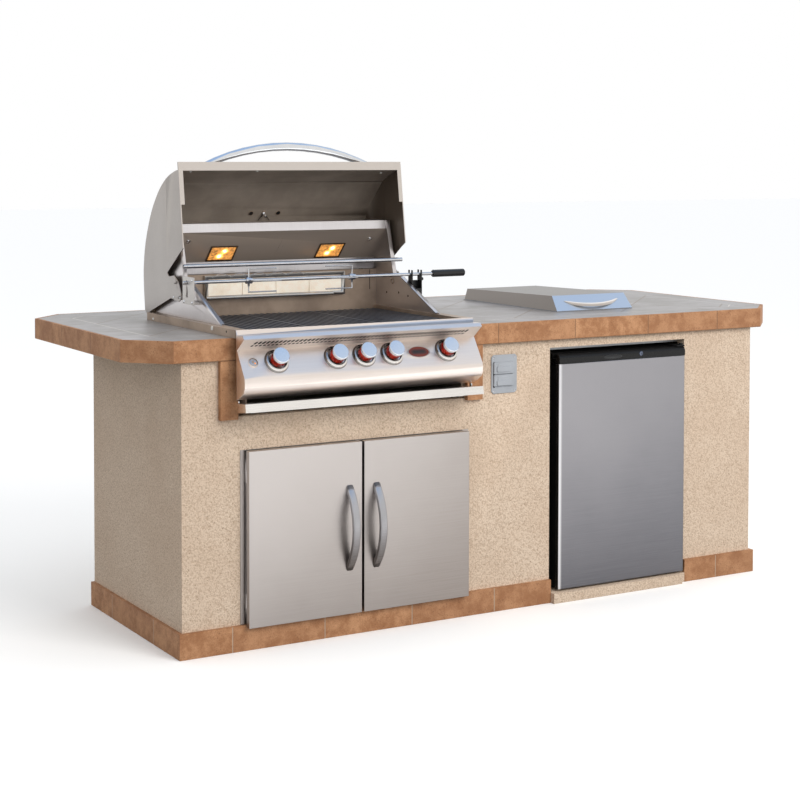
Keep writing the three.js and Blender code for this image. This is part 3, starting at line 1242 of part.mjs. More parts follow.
// Spit and what is on it, drawn about the spit's axis
function buildSpit() {
  const group = turnedGroup(0, spitY, spitZ, 0);
  addMesh(group, 'rotisserie_rod', bar([spitLeft, 0, 0], [spitRight, 0, 0], spitRadius, 16), finishes.chrome());
  const bore = bar([spitLeft - cutOverrun, 0, 0], [spitRight + cutOverrun, 0, 0], spitRadius + fitGap, 16);
  const fork = (x, inward) => {
    const hub = bar([x - forkHubLength / 2, 0, 0], [x + forkHubLength / 2, 0, 0], forkHubRadius, 16);
    const screw = bar([x, 0, 0], [x, 0, -forkScrewHeight], forkScrewRadius, 10);
    const elbows = [0, 1, 2, 3].map((turn) => {
      const angle = turn * Math.PI / 2;
      const [y, z] = [forkSpread * Math.sin(angle), forkSpread * Math.cos(angle)];
      const elbow = new THREE.SphereGeometry(forkProngRadius, 8, 6).translate(x, y, z);
      return join(bar([x, 0, 0], [x, y, z], forkProngRadius, 8), solid(elbow),
        bar([x, y, z], [x + inward * forkProngLength, y, z], forkProngRadius, 8));
    });
    return cut(join(hub, screw, ...elbows), bore);
  };
  addMesh(group, 'fork_left', fork(forkLeftX, 1), finishes.chrome());
  addMesh(group, 'fork_right', fork(forkRightX, -1), finishes.chrome());
  const round = gripRadius / 4;
  const gripLength = gripRight - gripLeft;
  const grip = turned([[0, 0], [gripRadius - round, 0], [gripRadius, round], [gripRadius, gripLength - round],
    [gripRadius - round, gripLength], [0, gripLength]], 20);
  const lying = new THREE.Matrix4().makeRotationY(Math.PI / 2).setPosition(gripLeft, 0, 0);
  const socket = bar([gripLeft - cutOverrun, 0, 0], [spitRight + fitGap, 0, 0], spitRadius + fitGap, 16);
  addMesh(group, 'rod_handle', cut(grip.transform(lying.elements), socket), finishes.black());
}

// Slotted plate that takes the spit on the left, on two feet that reach the shield
function buildMotorBracket() {
  const [x0, x1] = [motorBracketX, motorBracketX + bracketSheet];
  const [y0, y1] = [motorBracketFront, motorBracketFront + motorBracketDepth];
  const bottom = spitZ - motorBracketDrop;
  const plate = slab(x0, x1, y0, y1, bottom, spitZ + motorBracketRise);
  const foot = (y) => slab(x0, shieldLeft - fitGap, y, y + motorBracketFoot, bottom, bottom + motorBracketFoot);
  const half = motorSlotWidth / 2;
  const slot = join(
    slab(x0 - cutOverrun, x1 + cutOverrun, spitY - half, spitY + half, spitZ - motorSlotLength, spitZ),
    bar([x0 - cutOverrun, spitY, spitZ], [x1 + cutOverrun, spitY, spitZ], half, 16));
  addMesh(island, 'motor_bracket',
    join(cut(plate, slot), foot(y0 + motorFootInset), foot(y1 - motorBracketFoot)), finishes.steel());
}

// Black yoke on the right shield that the spit rests in, with its wing nut
function buildRodBracket() {
  const [x0, x1] = [shieldRight + fitGap, shieldRight + yokeWidth];
  const [y0, y1] = [spitY - yokeDepth / 2, spitY + yokeDepth / 2];
  const sheet = bracketSheet;
  const bottom = spitZ - yokeDrop;
  const plate = (x) => slab(x, x + sheet, y0, y1, bottom, spitZ + yokeRise);
  const block = slab(x0, x1, y0, y1, bottom, bottom + yokeBlock);
  const web = slab(x0, x1, y1 - sheet, y1, bottom, spitZ - yokeBlock);
  const radius = spitRadius + yokeNotchGap;
  const notch = join(
    slab(x0 - cutOverrun, x1 + cutOverrun, spitY - radius, spitY + radius, spitZ, spitZ + yokeRise + cutOverrun),
    bar([x0 - cutOverrun, spitY, spitZ], [x1 + cutOverrun, spitY, spitZ], radius, 16));
  const nutZ = spitZ - yokeNutDrop;
  const nut = bar([x1 - sheet, spitY, nutZ], [x1 + yokeNutLength, spitY, nutZ], yokeNutRadius, 12);
  addMesh(island, 'rod_bracket', cut(join(plate(x0), plate(x1 - sheet), block, web, nut), notch),
    finishes.black());
}

// Three lift-out grates of bars that run from front to back
function buildGrates() {
  const inner = fireboxWall + grateGap;
  const [left, right] = [fireboxLeft + inner, fireboxRight - inner];
  const width = (right - left - (grateCount - 1) * grateGap) / grateCount;
  const [y0, y1] = [fireboxFront + fireboxWall + grateGap, chamberBack - grateGap];
  const bottom = grateTop - grateThickness;
  ['grate_left', 'grate_middle', 'grate_right'].forEach((name, i) => {
    const x0 = left + i * (width + grateGap);
    const pitch = (width - grateBarWidth) / (grateBars - 1);
    const bars = Array.from({ length: grateBars }, (_, k) =>
      slab(x0 + k * pitch, x0 + k * pitch + grateBarWidth, y0, y1, bottom, grateTop));
    const crossYs = [y0, (y0 + y1) / 2, y1 - grateBarWidth];
    const cross = crossYs.map((y) =>
      slab(x0, x0 + width, y, y + grateBarWidth, bottom, bottom + grateCrossThickness));
    addMesh(island, name, join(...bars, ...cross), finishes.castIron());
  });
}

// Ridged sheet that spreads the heat, and the burner tubes under it
function buildBurners() {
  const inner = fireboxWall + grateGap;
  const [left, right] = [fireboxLeft + inner, fireboxRight - inner];
  const [y0, y1] = [fireboxFront + inner, chamberBack - grateGap];
  const pitch = (right - left) / tamerRidges;
  const ridges = Array.from({ length: 2 * tamerRidges + 1 }, (_, i) =>
    [right - (i * pitch) / 2, tamerHeight + tamerSheet + (i % 2) * tamerRise]);
  addMesh(island, 'flame_tamer', extrudeAlongY(sheetOutline(ridges, tamerSheet), y0, y1), finishes.darkSteel());

  const spacing = (fireboxWidth - 2 * inner) / burnerTubeCount;
  const start = fireboxFront + fireboxWall + fitGap;
  const tubes = Array.from({ length: burnerTubeCount }, (_, i) => {
    const x = fireboxLeft + inner + (i + 0.5) * spacing;
    return bar([x, start, burnerTubeZ], [x, burnerTubeEndY, burnerTubeZ], burnerTubeRadius, 12);
  });
  const rail = slab(fireboxLeft + fireboxWall + fitGap, fireboxRight - fireboxWall - fitGap,
    burnerTubeEndY - burnerRail, burnerTubeEndY, burnerTubeZ - burnerRail / 2, burnerTubeZ + burnerRail / 2);
  addMesh(island, 'burner_set', join(...tubes, rail), finishes.darkSteel());
}

buildFrame();
buildWalls();
buildPlatform();
buildPlinth();
buildCounter();
buildEdgeTiles();
buildDoorFrame();
buildDoors();
buildFridgeCabinet();
buildFridgeDoor();
buildShelf();
buildOutlet();
buildSideBurnerPan();
buildSideBurnerLid();
buildFirebox();
buildPanel();
buildManifold();
buildKnobs();
buildTray();
buildHood();
buildHousing();
buildLamps();
buildRail();
buildRearBurner();
buildSpit();
buildMotorBracket();
buildRodBracket();
buildGrates();
buildBurners();

// Origin to the middle of the footprint
const bounds = new THREE.Box3().setFromObject(island);
island.position.set(-(bounds.min.x + bounds.max.x) / 2, -(bounds.min.y + bounds.max.y) / 2, 0);
const kitchenIsland = new THREE.Group();
kitchenIsland.add(island);

export default kitchenIsland;
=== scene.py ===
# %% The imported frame
import json
import math
from functools import reduce

import bmesh
import bpy
import numpy as np
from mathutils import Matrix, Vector

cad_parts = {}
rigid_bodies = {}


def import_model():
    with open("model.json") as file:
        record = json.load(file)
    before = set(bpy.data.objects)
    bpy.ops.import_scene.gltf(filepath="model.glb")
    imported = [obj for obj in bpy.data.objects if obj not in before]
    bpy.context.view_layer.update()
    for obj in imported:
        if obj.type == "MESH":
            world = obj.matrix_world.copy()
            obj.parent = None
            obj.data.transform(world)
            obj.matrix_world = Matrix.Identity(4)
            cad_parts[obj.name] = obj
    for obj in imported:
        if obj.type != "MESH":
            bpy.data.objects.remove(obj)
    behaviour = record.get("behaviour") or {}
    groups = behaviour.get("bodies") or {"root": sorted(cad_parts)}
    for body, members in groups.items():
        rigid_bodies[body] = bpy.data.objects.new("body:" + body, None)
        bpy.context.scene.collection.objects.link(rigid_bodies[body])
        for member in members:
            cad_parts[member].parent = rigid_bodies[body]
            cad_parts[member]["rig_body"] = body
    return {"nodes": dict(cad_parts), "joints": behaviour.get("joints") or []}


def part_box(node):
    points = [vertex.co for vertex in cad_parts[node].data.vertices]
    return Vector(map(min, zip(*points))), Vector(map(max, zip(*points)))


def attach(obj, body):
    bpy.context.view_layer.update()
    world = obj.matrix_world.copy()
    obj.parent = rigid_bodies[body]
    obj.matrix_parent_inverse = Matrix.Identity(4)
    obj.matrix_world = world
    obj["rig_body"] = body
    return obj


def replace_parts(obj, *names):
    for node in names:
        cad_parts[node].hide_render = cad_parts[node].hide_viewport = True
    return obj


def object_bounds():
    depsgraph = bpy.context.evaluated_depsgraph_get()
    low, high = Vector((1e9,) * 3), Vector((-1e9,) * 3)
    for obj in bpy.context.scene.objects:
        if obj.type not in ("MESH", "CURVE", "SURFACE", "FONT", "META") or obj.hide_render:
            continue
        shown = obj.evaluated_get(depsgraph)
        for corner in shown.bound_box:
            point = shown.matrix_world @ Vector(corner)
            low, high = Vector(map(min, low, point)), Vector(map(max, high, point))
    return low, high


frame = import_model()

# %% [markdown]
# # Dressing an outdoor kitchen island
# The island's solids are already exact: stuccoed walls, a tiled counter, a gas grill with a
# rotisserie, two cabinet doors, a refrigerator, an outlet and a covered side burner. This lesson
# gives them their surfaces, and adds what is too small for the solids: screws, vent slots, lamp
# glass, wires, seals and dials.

NODES = frame["nodes"]
JOINTS = {joint["name"]: joint for joint in frame["joints"]}
CAD_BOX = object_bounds()
MM = 0.001
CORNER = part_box("front_wall")[0]
X, Y, Z = np.eye(3)
FRONT, LEFT, BACK, TOP = -Y, -X, Y, Z


def at(x, y, z):
    """Millimetres from the walls' front left corner on the floor, as a point of the frame."""
    return np.array([CORNER.x, CORNER.y, 0]) + MM * np.array([x, y, z])


# %% [markdown]
# ## The camera
# The photograph was taken from the left and a little above the counter, with a long lens. Its
# place was solved from the island's straight edges, so the camera only repeats it. The horizon
# lies above the middle of the picture, which a lens shift copies without tilting the walls.

# %% Camera
PHOTO_SIZE = 800
FOCAL_PIXELS = 1727.26
AXIS_ROW = 225.28
EYE = (-2.99284, -4.94068, 1.43581)
YAW, PITCH, ROLL = 0.5303, 0.0398, -0.0016

lens = bpy.data.cameras.new("camera")
lens.sensor_width = 36
lens.lens = FOCAL_PIXELS * lens.sensor_width / PHOTO_SIZE
lens.shift_y = (AXIS_ROW - PHOTO_SIZE / 2) / PHOTO_SIZE
camera = bpy.data.objects.new("camera", lens)
camera.location = EYE
camera.rotation_euler = (math.pi / 2 - PITCH, ROLL, -YAW)
bpy.context.scene.collection.objects.link(camera)
bpy.context.scene.camera = camera
print("lens", round(lens.lens, 1), "mm, shift", round(lens.shift_y, 3))

# %% [markdown]
# ## Arithmetic on surfaces
# A material is a small program of nodes. Writing it as sums is easier to read than wiring nodes
# one by one, so a field wraps a socket, and each operator on it adds the Math node that does the
# sum. Every other kind of node comes from one method that sets the node up and then fills its
# sockets.


# %% Fields
class Field:
    """A value that changes over a surface: one output socket, with sums that add Math nodes."""

    def __init__(self, tree, socket=None):
        self.tree, self.socket = tree, socket

    def node(self, kind, settings=None, inputs=None, output=0):
        """Adds a node. Its settings come first, then each input gets a value or a link."""
        made = self.tree.nodes.new(kind)
        for key, value in (settings or {}).items():
            if key == "stops":
                for stop in value[2:]:
                    made.color_ramp.elements.new(stop[0])
                for element, stop in zip(made.color_ramp.elements, value):
                    element.position, element.color = stop
            else:
                setattr(made, key, value)
        for key, value in (inputs or {}).items():
            if isinstance(value, Field):
                self.tree.links.new(value.socket, made.inputs[key])
            else:
                made.inputs[key].default_value = value
        return Field(self.tree, made.outputs[output])

    def math(self, operation, *operands):
        """A Math node on its operands, each a field or a number."""
        return self.node("ShaderNodeMath", {"operation": operation}, dict(enumerate(operands)))

    def __add__(self, other):
        return self.math("ADD", self, other)

    def __sub__(self, other):
        return self.math("SUBTRACT", self, other)

    def __rsub__(self, other):
        return self.math("SUBTRACT", other, self)

    def __mul__(self, other):
        return self.math("MULTIPLY", self, other)

    def __truediv__(self, other):
        return self.math("DIVIDE", self, other)

    def __floordiv__(self, other):
        share = self / other
        return share.math("FLOOR", share)

    def __mod__(self, other):
        return self.math("FLOORED_MODULO", self, other)

    def __abs__(self):
        return self.math("ABSOLUTE", self)

    __radd__, __rmul__ = __add__, __mul__

    def larger(self, other):
        return self.math("MAXIMUM", self, other)

    def smaller(self, other):
        return self.math("MINIMUM", self, other)

    def rise(self, low, high):
        """0 below low, 1 above high and a smooth step between."""
        return self.node("ShaderNodeMapRange", {"interpolation_type": "SMOOTHSTEP"},
                         {0: self, 1: low, 2: high})

    def between(self, low, high, soft):
        """1 from low to high, falling to 0 over a soft edge."""
        return self.rise(low - soft, low + soft) * (1 - self.rise(high - soft, high + soft))

    def within(self, half):
        """1 where a distance is less than a line's half width, with a soft edge."""
        return 1 - self.rise(half * 0.6, half * 1.4)

    def stretch(self, x, y, z):
        """Coordinates scaled along each axis, so that a pattern on them is drawn out."""
        return self.node("ShaderNodeVectorMath", {"operation": "MULTIPLY"},
                         {0: self, 1: (x, y, z)})

    def noise(self, scale, detail=2.0, roughness=0.5):
        return self.node("ShaderNodeTexNoise", None, {"Vector": self, "Scale": scale,
                                                      "Detail": detail, "Roughness": roughness})

    def scratches(self, along):
        """Fine streaks, drawn out along the axis with the small number."""
        return self.stretch(*along).noise(1, 4, 0.7)

    def dots(self, scale, radius):
        """1 in round dots strewn at random, one to a cell, of a radius given in cells."""
        nearest = self.node("ShaderNodeTexVoronoi", None, {"Vector": self, "Scale": scale})
        return 1 - nearest.rise(radius * 0.7, radius * 1.3)

    def chance(self):
        """A random number that stays the same wherever this field does, one to a tile."""
        return self.node("ShaderNodeTexWhiteNoise", {"noise_dimensions": "1D"}, {"W": self})

    def parts(self):
        """The three coordinates as fields."""
        return [self.node("ShaderNodeSeparateXYZ", None, {0: self}, i) for i in range(3)]

    def blend(self, low, high):
        """A colour that goes from low to high as this field goes from 0 to 1."""
        return self.node("ShaderNodeMix", {"data_type": "RGBA"}, {0: self, 6: low, 7: high}, 2)

    def ramp(self, *stops):
        return self.node("ShaderNodeValToRGB", {"stops": stops}, {0: self})

    def bump(self, depth, strength=1.0):
        """Normals tilted by this field read as a height."""
        return self.node("ShaderNodeBump", None,
                         {"Height": self, "Distance": depth, "Strength": strength})


# %% Colours and materials
def length(*parts):
    """The length of a vector from its parts: the root of the sum of their squares."""
    total = reduce(Field.__add__, [part * part for part in parts])
    return total.math("SQRT", total)


def tone(red, green, blue):
    """A colour read off the photograph, 0 to 255, as the linear colour a shader wants."""
    share = np.array([red, green, blue]) / 255
    linear = np.where(share > 0.04045, ((share + 0.055) / 1.055) ** 2.4, share / 12.92)
    return (*linear.tolist(), 1.0)


def finish(name, paint):
    """A material from a function of the place on the surface and of the way it faces."""
    made = bpy.data.materials.new(name)
    made.use_nodes = True
    start = Field(made.node_tree)
    place = start.node("ShaderNodeTexCoord", output="Object")
    facing = start.node("ShaderNodeTexCoord", output="Normal")
    shader = made.node_tree.nodes["Principled BSDF"]
    for key, value in paint(place, facing).items():
        if isinstance(value, Field):
            made.node_tree.links.new(value.socket, shader.inputs[key])
        else:
            shader.inputs[key].default_value = value
    return made


def wear(material, *nodes):
    """Gives CAD nodes their material."""
    for node in nodes:
        for slot in NODES[node].material_slots:
            slot.material = material


# %% [markdown]
# ## Stucco
# The walls are sprayed with a sand-coloured stucco: pale grains of 3 to 5 mm, with brown flecks
# and pits between them and a slow drift in tone. Real grains could be modelled, but they are far
# smaller than the wall, so noise gives the grain, and round dots strewn at random, more in some
# places than in others, give the flecks and pits.


# %% Stucco finish
def paint_stucco(place, facing):
    drift, grain, grit = place.noise(5), place.noise(210, 3, 0.6), place.noise(560, 2)
    flecks = place.dots(150, 0.24) * place.noise(70, 1).rise(0.48, 0.62)
    pits = place.dots(80, 0.3) * place.noise(28, 2).rise(0.42, 0.58)
    base = drift.rise(0.3, 0.7).blend(tone(211, 189, 167), tone(219, 199, 178))
    grained = grain.rise(0.33, 0.6).blend(tone(187, 164, 142), base)
    pitted = (pits * 0.1).blend(grained, tone(146, 118, 92))
    height = grain * 0.8 + grit * 0.3 - flecks * 0.2 - pits * 0.3
    return {"Base Color": (flecks * 0.42).blend(pitted, tone(122, 92, 68)), "Roughness": 0.93,
            "Normal": height.bump(0.0032, 0.8)}


STUCCO = finish("stucco", paint_stucco)
wear(STUCCO, "fridge_platform")

# %% [markdown]
# ## Edge tiles and base tiles
# Unglazed tiles face the counter's edge, the columns beside the grill and the foot of the walls.
# Each tile has a tone of its own, cloudy mottling, dark grit and a few pores. The joints are thin
# and stand at the places that the photograph shows: they repeat along x on faces that look
# forwards or backwards, and along y on the ends.

# %% Tile finish
JOINT_HALF = 1.5 * MM
EDGE_JOINTS = (at(1067, 0, 0)[0], 297 * MM, at(0, 335, 0)[1], 254 * MM)
BASE_JOINTS = (at(153, 0, 0)[0], 302 * MM, at(0, 184, 0)[1], 335 * MM)
COLUMN_TOP = 850 * MM


def joint_lines(along, first, pitch, half=JOINT_HALF):
    """1 in the joints of a row of tiles, and a number that is the same all over each tile."""
    distance = abs((along - (first - pitch / 2)) % pitch - pitch / 2)
    return distance.within(half), (along - first) // pitch


def tiles(first_x, pitch_x, first_y, pitch_y, joint, seam_z=None):
    """A paint for a band of tiles: the first joint and the pitch along x and along y, and the
    height of a level seam."""
    def paint(place, facing):
        x, y, z = place.parts()
        faces_x, faces_y = (abs(part).rise(0.8, 0.95) for part in facing.parts()[:2])
        lines_x, tile_x = joint_lines(x, first_x, pitch_x)
        lines_y, tile_y = joint_lines(y, first_y, pitch_y)
        lines = (lines_x * faces_y).larger(lines_y * faces_x)
        if seam_z is not None:
            lines = lines.larger(abs(z - seam_z).within(JOINT_HALF) * faces_y)
        own = (tile_x * faces_y + tile_y * faces_x).chance()
        clouds, grit = place.noise(17, 5, 0.7), place.noise(330, 2, 0.6)
        pores = place.dots(120, 0.24) * place.noise(24, 2).rise(0.45, 0.6)
        body = clouds.rise(0.34, 0.66).blend(tone(153, 105, 69), tone(193, 145, 106))
        shaded = (own * 0.36).blend(body, tone(146, 102, 72))
        gritty = (grit.rise(0.54, 0.66) * 0.45).blend(shaded, tone(120, 82, 56))
        pitted = (pores * 0.4).blend(gritty, tone(98, 66, 44))
        height = clouds * 0.5 + grit * 0.35 - lines * 1.2
        return {"Base Color": (lines * 0.8).blend(pitted, joint),
                "Roughness": 0.62 + clouds * 0.2, "Normal": height.bump(0.0012, 0.6)}
    return paint


wear(finish("edge_tile", tiles(*EDGE_JOINTS, tone(120, 90, 66), COLUMN_TOP)),
     "edge_tiles_left", "edge_tiles_right")
wear(finish("base_tile", tiles(*BASE_JOINTS, tone(178, 160, 142))),
     "plinth_left", "plinth_right")

# %% [markdown]
# ## Counter tiles
# The top is laid with smooth slate-grey tiles, on the diagonal, inside one straight course that
# follows the edge, with a paler line of grout between the two. The straight course is where the
# distance to the nearest edge is small, and that distance is worked out from the counter's own
# box, cut corners included.

# %% Counter finish
BORDER, FIELD_TILE, CORNER_CUT, GROUT_HALF = 98 * MM, 305 * MM, 115 * MM, 3.0 * MM
DIAGONAL_OFFSET = -132 * MM
COUNTER_LOW, COUNTER_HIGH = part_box("counter_tiles")
COUNTER_MIDDLE, COUNTER_HALF = (COUNTER_LOW + COUNTER_HIGH) / 2, (COUNTER_HIGH - COUNTER_LOW) / 2


def paint_counter(place, facing):
    x, y, _ = place.parts()
    from_x = COUNTER_HALF.x - abs(x - COUNTER_MIDDLE.x)
    from_y = COUNTER_HALF.y - abs(y - COUNTER_MIDDLE.y)
    from_cut = (from_x + from_y - CORNER_CUT) / math.sqrt(2)
    inward = from_x.smaller(from_y.smaller(from_cut))
    field = inward.rise(BORDER - JOINT_HALF, BORDER + JOINT_HALF)
    across = (x - CORNER.x - y + CORNER.y) / math.sqrt(2) - DIAGONAL_OFFSET
    along = (x - CORNER.x + y - CORNER.y) / math.sqrt(2)
    lines_u, tile_u = joint_lines(across, 0, FIELD_TILE, GROUT_HALF)
    lines_v, tile_v = joint_lines(along, 0, FIELD_TILE, GROUT_HALF)
    border_line = abs(inward - BORDER).within(GROUT_HALF)
    straight_x, tile_x = joint_lines(x, *EDGE_JOINTS[:2], GROUT_HALF)
    straight_y, tile_y = joint_lines(y, *EDGE_JOINTS[2:], GROUT_HALF)
    on_ends = (from_y - from_x).rise(0, 1 * MM)
    straight = straight_x * (1 - on_ends) + straight_y * on_ends
    joints = lines_u.larger(lines_v) * field + straight * (1 - field)
    lines = joints.larger(border_line)
    own = ((tile_u + tile_v * 7.3) * field + (tile_x + tile_y * 3.1) * (1 - field)).chance()
    clouds, veins = place.noise(7, 4, 0.6), place.stretch(1, 2.6, 1).noise(16, 5, 0.65)
    grey = clouds.rise(0.3, 0.7).blend(tone(132, 128, 125), tone(159, 156, 158))
    veined = (veins.rise(0.5, 0.72) * 0.45).blend(grey, tone(134, 127, 121))
    toned = (own * 0.45).blend(veined, tone(140, 136, 133))
    grout = border_line.blend(tone(124, 110, 98), tone(192, 187, 182))
    height = clouds * 0.35 + veins * 0.2 - lines * 1.3
    return {"Base Color": (lines * 0.8).blend(toned, grout), "Roughness": 0.28 + veins * 0.22,
            "Normal": height.bump(0.0011, 0.55)}


def paint_board(place, facing):
    fibres = place.stretch(1, 14, 14).noise(30, 3)
    return {"Base Color": fibres.blend(tone(120, 112, 100), tone(156, 148, 134)),
            "Roughness": 0.85, "Normal": fibres.bump(0.001, 0.4)}


wear(finish("counter_tile", paint_counter), "counter_tiles")
wear(finish("deck_board", paint_board), *[n for n in NODES if n.startswith("counter_deck")])

# %% [markdown]
# ## Metals and plastics
# Brushed steel is steel with fine scratches all one way. Noise drawn out along the brushing gives
# streaks that change the tone a little and the roughness more, and a slower noise adds the
# smudges of a used kitchen. Chrome is the same with hardly any streaks. The cabinet doors also
# carry a painted reflection: their colour is painted darker downwards and to the right, as a sheet
# that mirrors what stands before it would look.


# %% Metal and plastic finishes
def brushed(dark, pale, roughness, along=(5, 700, 700), streak=0.12, smudge=0.06):
    """A paint for brushed steel, from two colours read off the photograph."""
    def paint(place, facing):
        streaks, patches = place.scratches(along), place.noise(6, 3)
        shade = (streaks * 0.6 + patches * 0.4).rise(0.3, 0.7).blend(tone(*dark), tone(*pale))
        rough = roughness + (streaks - 0.5) * streak + (patches - 0.5) * smudge
        return {"Base Color": shade, "Metallic": 1.0, "Roughness": rough,
                "Normal": streaks.bump(0.0002, 0.05)}
    return paint


def steel_with_painted_reflection(box, dark, pale, down_share):
    """A paint for a brushed sheet with a painted reflection: pale at its box's top left and dark at
    its bottom right. The share tells how much of the change goes down and how much goes across."""
    def paint(place, facing):
        (low, high), (x, _, z) = box, place.parts()
        streaks, patches = place.scratches((5, 600, 900)), place.noise(4, 3)
        left, raised = 1 - (x - low.x) / (high.x - low.x), (z - low.z) / (high.z - low.z)
        light = raised * down_share + left * (1 - down_share) + (patches - 0.5) * 0.3
        shade = light.rise(0, 1).blend(tone(*dark), tone(*pale))
        return {"Base Color": (streaks.rise(0.3, 0.7) * 0.2).blend(shade, tone(*pale)),
                "Metallic": 1.0, "Roughness": 0.3 + (patches - 0.5) * 0.08 + streaks * 0.06,
                "Normal": streaks.bump(0.0002, 0.08)}
    return paint


def moulded(colour, roughness):
    """A paint for moulded plastic: one colour with the fine grain of its mould and a drift."""
    def paint(place, facing):
        pebble, drift = place.noise(500, 2), place.noise(12, 2)
        darker = (*[channel * 0.86 for channel in tone(*colour)[:3]], 1.0)
        return {"Base Color": drift.rise(0.25, 0.75).blend(darker, tone(*colour)),
                "Roughness": roughness + pebble * 0.1, "Normal": pebble.bump(0.0002, 0.35)}
    return paint


def paint_heat_tinted(place, facing):
    streaks, patches = place.scratches((4, 400, 400)), place.noise(9, 4, 0.6)
    straw = patches.rise(0.3, 0.7).blend(tone(152, 134, 119), tone(180, 160, 142))
    return {"Base Color": straw, "Metallic": 0.55, "Roughness": 0.36 + streaks * 0.16,
            "Normal": (streaks + patches).bump(0.0003, 0.2)}


def paint_cast_iron(place, facing):
    grain, rust = place.noise(420, 3, 0.7), place.noise(30, 3).rise(0.55, 0.75)
    return {"Base Color": (rust * 0.35).blend(tone(52, 53, 58), tone(84, 66, 54)),
            "Metallic": 0.35, "Roughness": 0.5 + grain * 0.2, "Normal": grain.bump(0.0006, 0.5)}


def paint_grate(place, facing):
    grain, char = place.noise(300, 3, 0.7), place.noise(14, 4, 0.6).rise(0.5, 0.75)
    return {"Base Color": (char * 0.5).blend(tone(136, 142, 154), tone(84, 80, 78)),
            "Metallic": 0.85, "Roughness": 0.32 + grain * 0.14, "Normal": grain.bump(0.0003, 0.3)}


BOTH_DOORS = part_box("door_left")[0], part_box("door_right")[1]
GRIP_LOW, GRIP_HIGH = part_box("door_handle_left")
ASIDE = Vector((1, 0, 0))
# The doors, their frame and their grips carry a painted reflection, pale above and dark below.
DOOR_STEEL = finish("door_steel", steel_with_painted_reflection(BOTH_DOORS, (148, 140, 135), (188, 182, 179), 0.5))
GRIP_STEEL = finish("grip_steel", steel_with_painted_reflection((GRIP_LOW - ASIDE, GRIP_HIGH + ASIDE),
                                               (92, 84, 78), (186, 186, 190), 0.9))
PANEL_STEEL = finish("panel_steel", brushed((178, 175, 176), (198, 195, 195), 0.27))
PAN_STEEL = finish("pan_steel", brushed((170, 172, 176), (190, 192, 196), 0.24))
TRAY_STEEL = finish("tray_steel", brushed((224, 220, 216), (240, 237, 233), 0.25))
BRACKET_STEEL = finish("bracket_steel", brushed((176, 172, 168), (198, 194, 190), 0.34,
                                                (60, 60, 400)))
GALVANISED = finish("galvanised_steel", brushed((138, 140, 142), (168, 170, 172), 0.45,
                                                (40, 40, 40), 0.2))
CHROME = finish("chrome", brushed((214, 216, 219), (226, 227, 229), 0.1, (30, 30, 30), 0.04, 0.05))
BRIGHT_WIRE = finish("bright_wire", brushed((196, 196, 198), (214, 214, 216), 0.16,
                                            (30, 30, 30), 0.06, 0.05))
HEAT_STEEL = finish("heat_tinted_steel", paint_heat_tinted)
BLACK_PLASTIC = finish("black_plastic", moulded((16, 16, 18), 0.3))
# Where dark_slot fills holes, slots and seams it is painted shade; the dial's ticks and the probe's
# wires have it as their own colour.
DARK_SLOT = finish("dark_slot", moulded((22, 20, 19), 0.8))
GREY_PLASTIC = finish("grey_plastic", moulded((163, 167, 173), 0.42))
PALE_PLASTIC = finish("pale_plastic", moulded((226, 226, 222), 0.35))
WHITE_ENAMEL = finish("white_enamel", moulded((236, 235, 230), 0.3))
GASKET = finish("gasket", moulded((150, 151, 154), 0.7))

wear(GALVANISED, "steel_frame", "gas_manifold", "fridge_shelf")
wear(HEAT_STEEL, "grill_firebox", "flame_tamer", "burner_set")
wear(PALE_PLASTIC, "outlet_receptacle")
wear(finish("cast_iron", paint_cast_iron), "side_burner_head", "side_burner_grate")
wear(finish("grate_steel", paint_grate), "grate_left", "grate_middle", "grate_right")
print(len(bpy.data.materials), "materials so far")

# %% [markdown]
# ## Dressed copies
# The solids are faceted and sharp. A copy with its corners merged can be shaded smooth where it
# curves and given a small round along its edges, which catches the light as a folded sheet does.
# The copy stands for its node, so the solid stays as it was made.

# %% Copies that stand for nodes
MERGE, SLIVER = 2e-6, 1e-7
LEVEL_ANGLE, EDGE_ANGLE = math.radians(0.4), math.radians(40)


def settle(mesh, material, body, crease, level=False):
    """Merges doubles, and triangles that lie level if asked, turns the faces out, shades curves
    smooth below the crease angle and seats the piece."""
    shape = bmesh.new()
    shape.from_mesh(mesh)
    bmesh.ops.remove_doubles(shape, verts=shape.verts, dist=MERGE)
    if level:
        bmesh.ops.dissolve_limit(shape, angle_limit=LEVEL_ANGLE, verts=shape.verts,
                                 edges=shape.edges)
    bmesh.ops.dissolve_degenerate(shape, edges=shape.edges, dist=SLIVER)
    bmesh.ops.recalc_face_normals(shape, faces=shape.faces)
    shape.to_mesh(mesh)
    shape.free()
    mesh.shade_smooth()
    mesh.set_sharp_from_angle(angle=math.radians(crease))
    mesh.materials.clear()
    mesh.materials.append(material)
    piece = bpy.data.objects.new(mesh.name, mesh)
    bpy.context.scene.collection.objects.link(piece)
    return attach(piece, body)


def dress(material, *nodes, width=0.0, crease=32):
    """Merged copies that stand for nodes, their edges rounded by a width in millimetres."""
    for node in nodes:
        mesh = NODES[node].data.copy()
        mesh.name = f"{node}_surface"
        piece = settle(mesh, material, NODES[node]["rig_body"], crease, level=width > 0)
        if width:
            bevel = piece.modifiers.new("eased_edges", "BEVEL")
            bevel.width, bevel.segments, bevel.limit_method = width * MM, 2, "ANGLE"
            bevel.angle_limit, bevel.harden_normals = EDGE_ANGLE, True
        level = piece.modifiers.new("level_faces", "WEIGHTED_NORMAL")
        level.keep_sharp = True
        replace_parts(piece, node)


